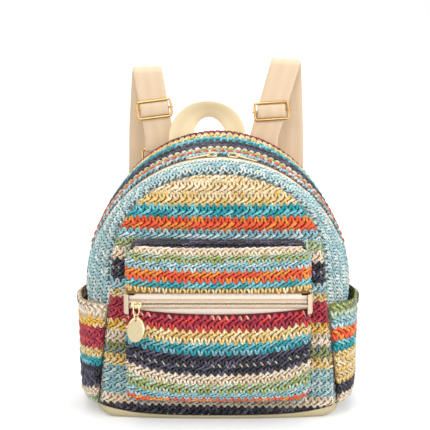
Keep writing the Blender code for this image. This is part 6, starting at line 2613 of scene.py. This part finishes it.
@dataclass
class Studio:
    """Floor, light, background and camera."""

    lens: float = 126.6
    elevation: float = 11.0
    distance: float = 1.5
    aim: Vector = Vector((-0.00298, DATUM_Y + 0.0077, 0.1896))
    lamp_aim: Vector = Vector((0.0, 0.0, 0.15))
    lamps: tuple = (("key", (-0.5, -1.4, 1.5), 1.2, 16.5), ("fill", (1.2, -1.0, 0.9), 1.4, 13.0),
                    ("top", (0.0, 0.3, 1.6), 1.4, 9.0), ("rear", (0.3, 1.5, 1.2), 1.2, 7.0))

    def build(self) -> None:
        """Set up the studio."""
        self._floor()
        self._world()
        for name, place, size, power in self.lamps:
            self._lamp(name, Vector(place), size, power)
        self._camera()
        bpy.context.scene.view_settings.view_transform = "Standard"

    def _clear(self, owner: bpy.types.Material | bpy.types.World) -> Tree:
        """Return a material's or a world's emptied tree."""
        owner.use_nodes = True
        owner.node_tree.nodes.clear()
        return Tree(owner.node_tree)

    def _seen(self, tree: Tree, *rays: str) -> Value:
        """Return 1 for the camera's rays and for the other kinds given.

        Args:
            tree: The tree to add to.
            rays: The other kinds of rays.

        Returns:
            1 for those rays and 0 for the rest.
        """
        path = tree.add("ShaderNodeLightPath")
        seen = Value(tree, path.outputs["Is Camera Ray"])
        for ray in rays:
            seen = seen + Value(tree, path.outputs[f"Is {ray} Ray"])
        return seen

    def _floor(self) -> None:
        """Lay a pale floor that shows as white and keeps the bag's shadow."""
        mesh = new_mesh("floor", [(-6, -6, 0), (6, -6, 0), (6, 6, 0), (-6, 6, 0)], [(0, 1, 2, 3)])
        link_object("floor", mesh)
        material = bpy.data.materials.new("white floor")
        tree = self._clear(material)
        far = tree.mapped(tree.vector("LENGTH", tree.object_place(), output=1), 0.25, 1.6)
        diffuse = tree.value("ShaderNodeBsdfDiffuse", {"Color": (0.72, 0.72, 0.72, 1.0)})
        glow = tree.value("ShaderNodeEmission",
                          {"Color": (1, 1, 1, 1),
                           "Strength": self._seen(tree, "Glossy") * (0.30 + far * 0.6)})
        both = tree.value("ShaderNodeAddShader", {0: diffuse, 1: glow})
        tree.add("ShaderNodeOutputMaterial", {"Surface": both})
        mesh.materials.append(material)

    def _world(self) -> None:
        """Light from all round, with a white background for the camera and for gloss."""
        world = bpy.data.worlds.new("studio")
        bpy.context.scene.world = world
        tree = self._clear(world)
        strength = self._seen(tree, "Transmission", "Glossy") * 0.36 + 0.64
        sky = tree.value("ShaderNodeBackground", {"Color": (1, 1, 1, 1), "Strength": strength})
        tree.add("ShaderNodeOutputWorld", {"Surface": sky})

    def _lamp(self, name: str, place: Vector, size: float, power: float) -> None:
        """Hang a soft box that looks at the bag.

        Args:
            name: Name of the lamp.
            place: Its place.
            size: Its width.
            power: Its power in watts.
        """
        data = bpy.data.lights.new(name, "AREA")
        data.energy = power
        data.size = size
        lamp = link_object(name, data)
        lamp.location = place
        lamp.rotation_euler = (self.lamp_aim - place).to_track_quat("-Z", "Y").to_euler()

    def _camera(self) -> None:
        """Place the camera at the photograph's angle."""
        data = bpy.data.cameras.new("camera")
        data.lens = self.lens
        data.sensor_width = 36.0
        camera = link_object("camera", data)
        tilt = math.radians(self.elevation)
        look = Vector((0.0, math.cos(tilt), -math.sin(tilt)))
        camera.location = self.aim - look * self.distance
        camera.rotation_euler = look.to_track_quat("-Z", "Y").to_euler()
        bpy.context.scene.camera = camera


def build_straw() -> None:
    """Build every straw panel."""
    crochet = Crochet()
    stitch = crochet.stitch()
    for panel in (
            FrontPanel("front_panel_straw", "front_panel", "straw_cream", 11),
            BackPanel("back_panel_straw", "back_panel", "straw_cream", 23),
            FrontGusset("front_gusset_straw", "front_gusset", "straw_blue", 37),
            RearGusset("rear_gusset_straw", "rear_gusset", "straw_teal", 41),
            SidePocket("side_pocket_left_straw", "side_pocket_left", "straw_navy", 53, -1.0,
                       LEFT_POCKET_STRIPES, LEFT_POCKET_RISE),
            SidePocket("side_pocket_right_straw", "side_pocket_right", "straw_navy", 59, 1.0,
                       RIGHT_POCKET_STRIPES, RIGHT_POCKET_RISE),
            PocketFace("pocket_upper_straw", "pocket_upper_panel", "straw_blue", 61, True),
            PocketFace("pocket_lower_straw", "pocket_lower_panel", "straw_blue", 67, False),
            PocketGusset("pocket_gusset_straw", "pocket_gusset", "straw_navy", 71)):
        panel.build(crochet, stitch)
    bpy.data.objects.remove(stitch, do_unlink=True)


def main() -> None:
    """Dress the bag and set up the studio."""
    logging.basicConfig(level=logging.INFO, format="%(message)s")
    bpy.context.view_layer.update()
    build_straw()
    for part in (MainZip(), PocketZip(), *STRAPS, Handle(), BaseTray(), Studio()):
        part.build()
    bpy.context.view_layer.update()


if __name__ == "__main__":
    main()
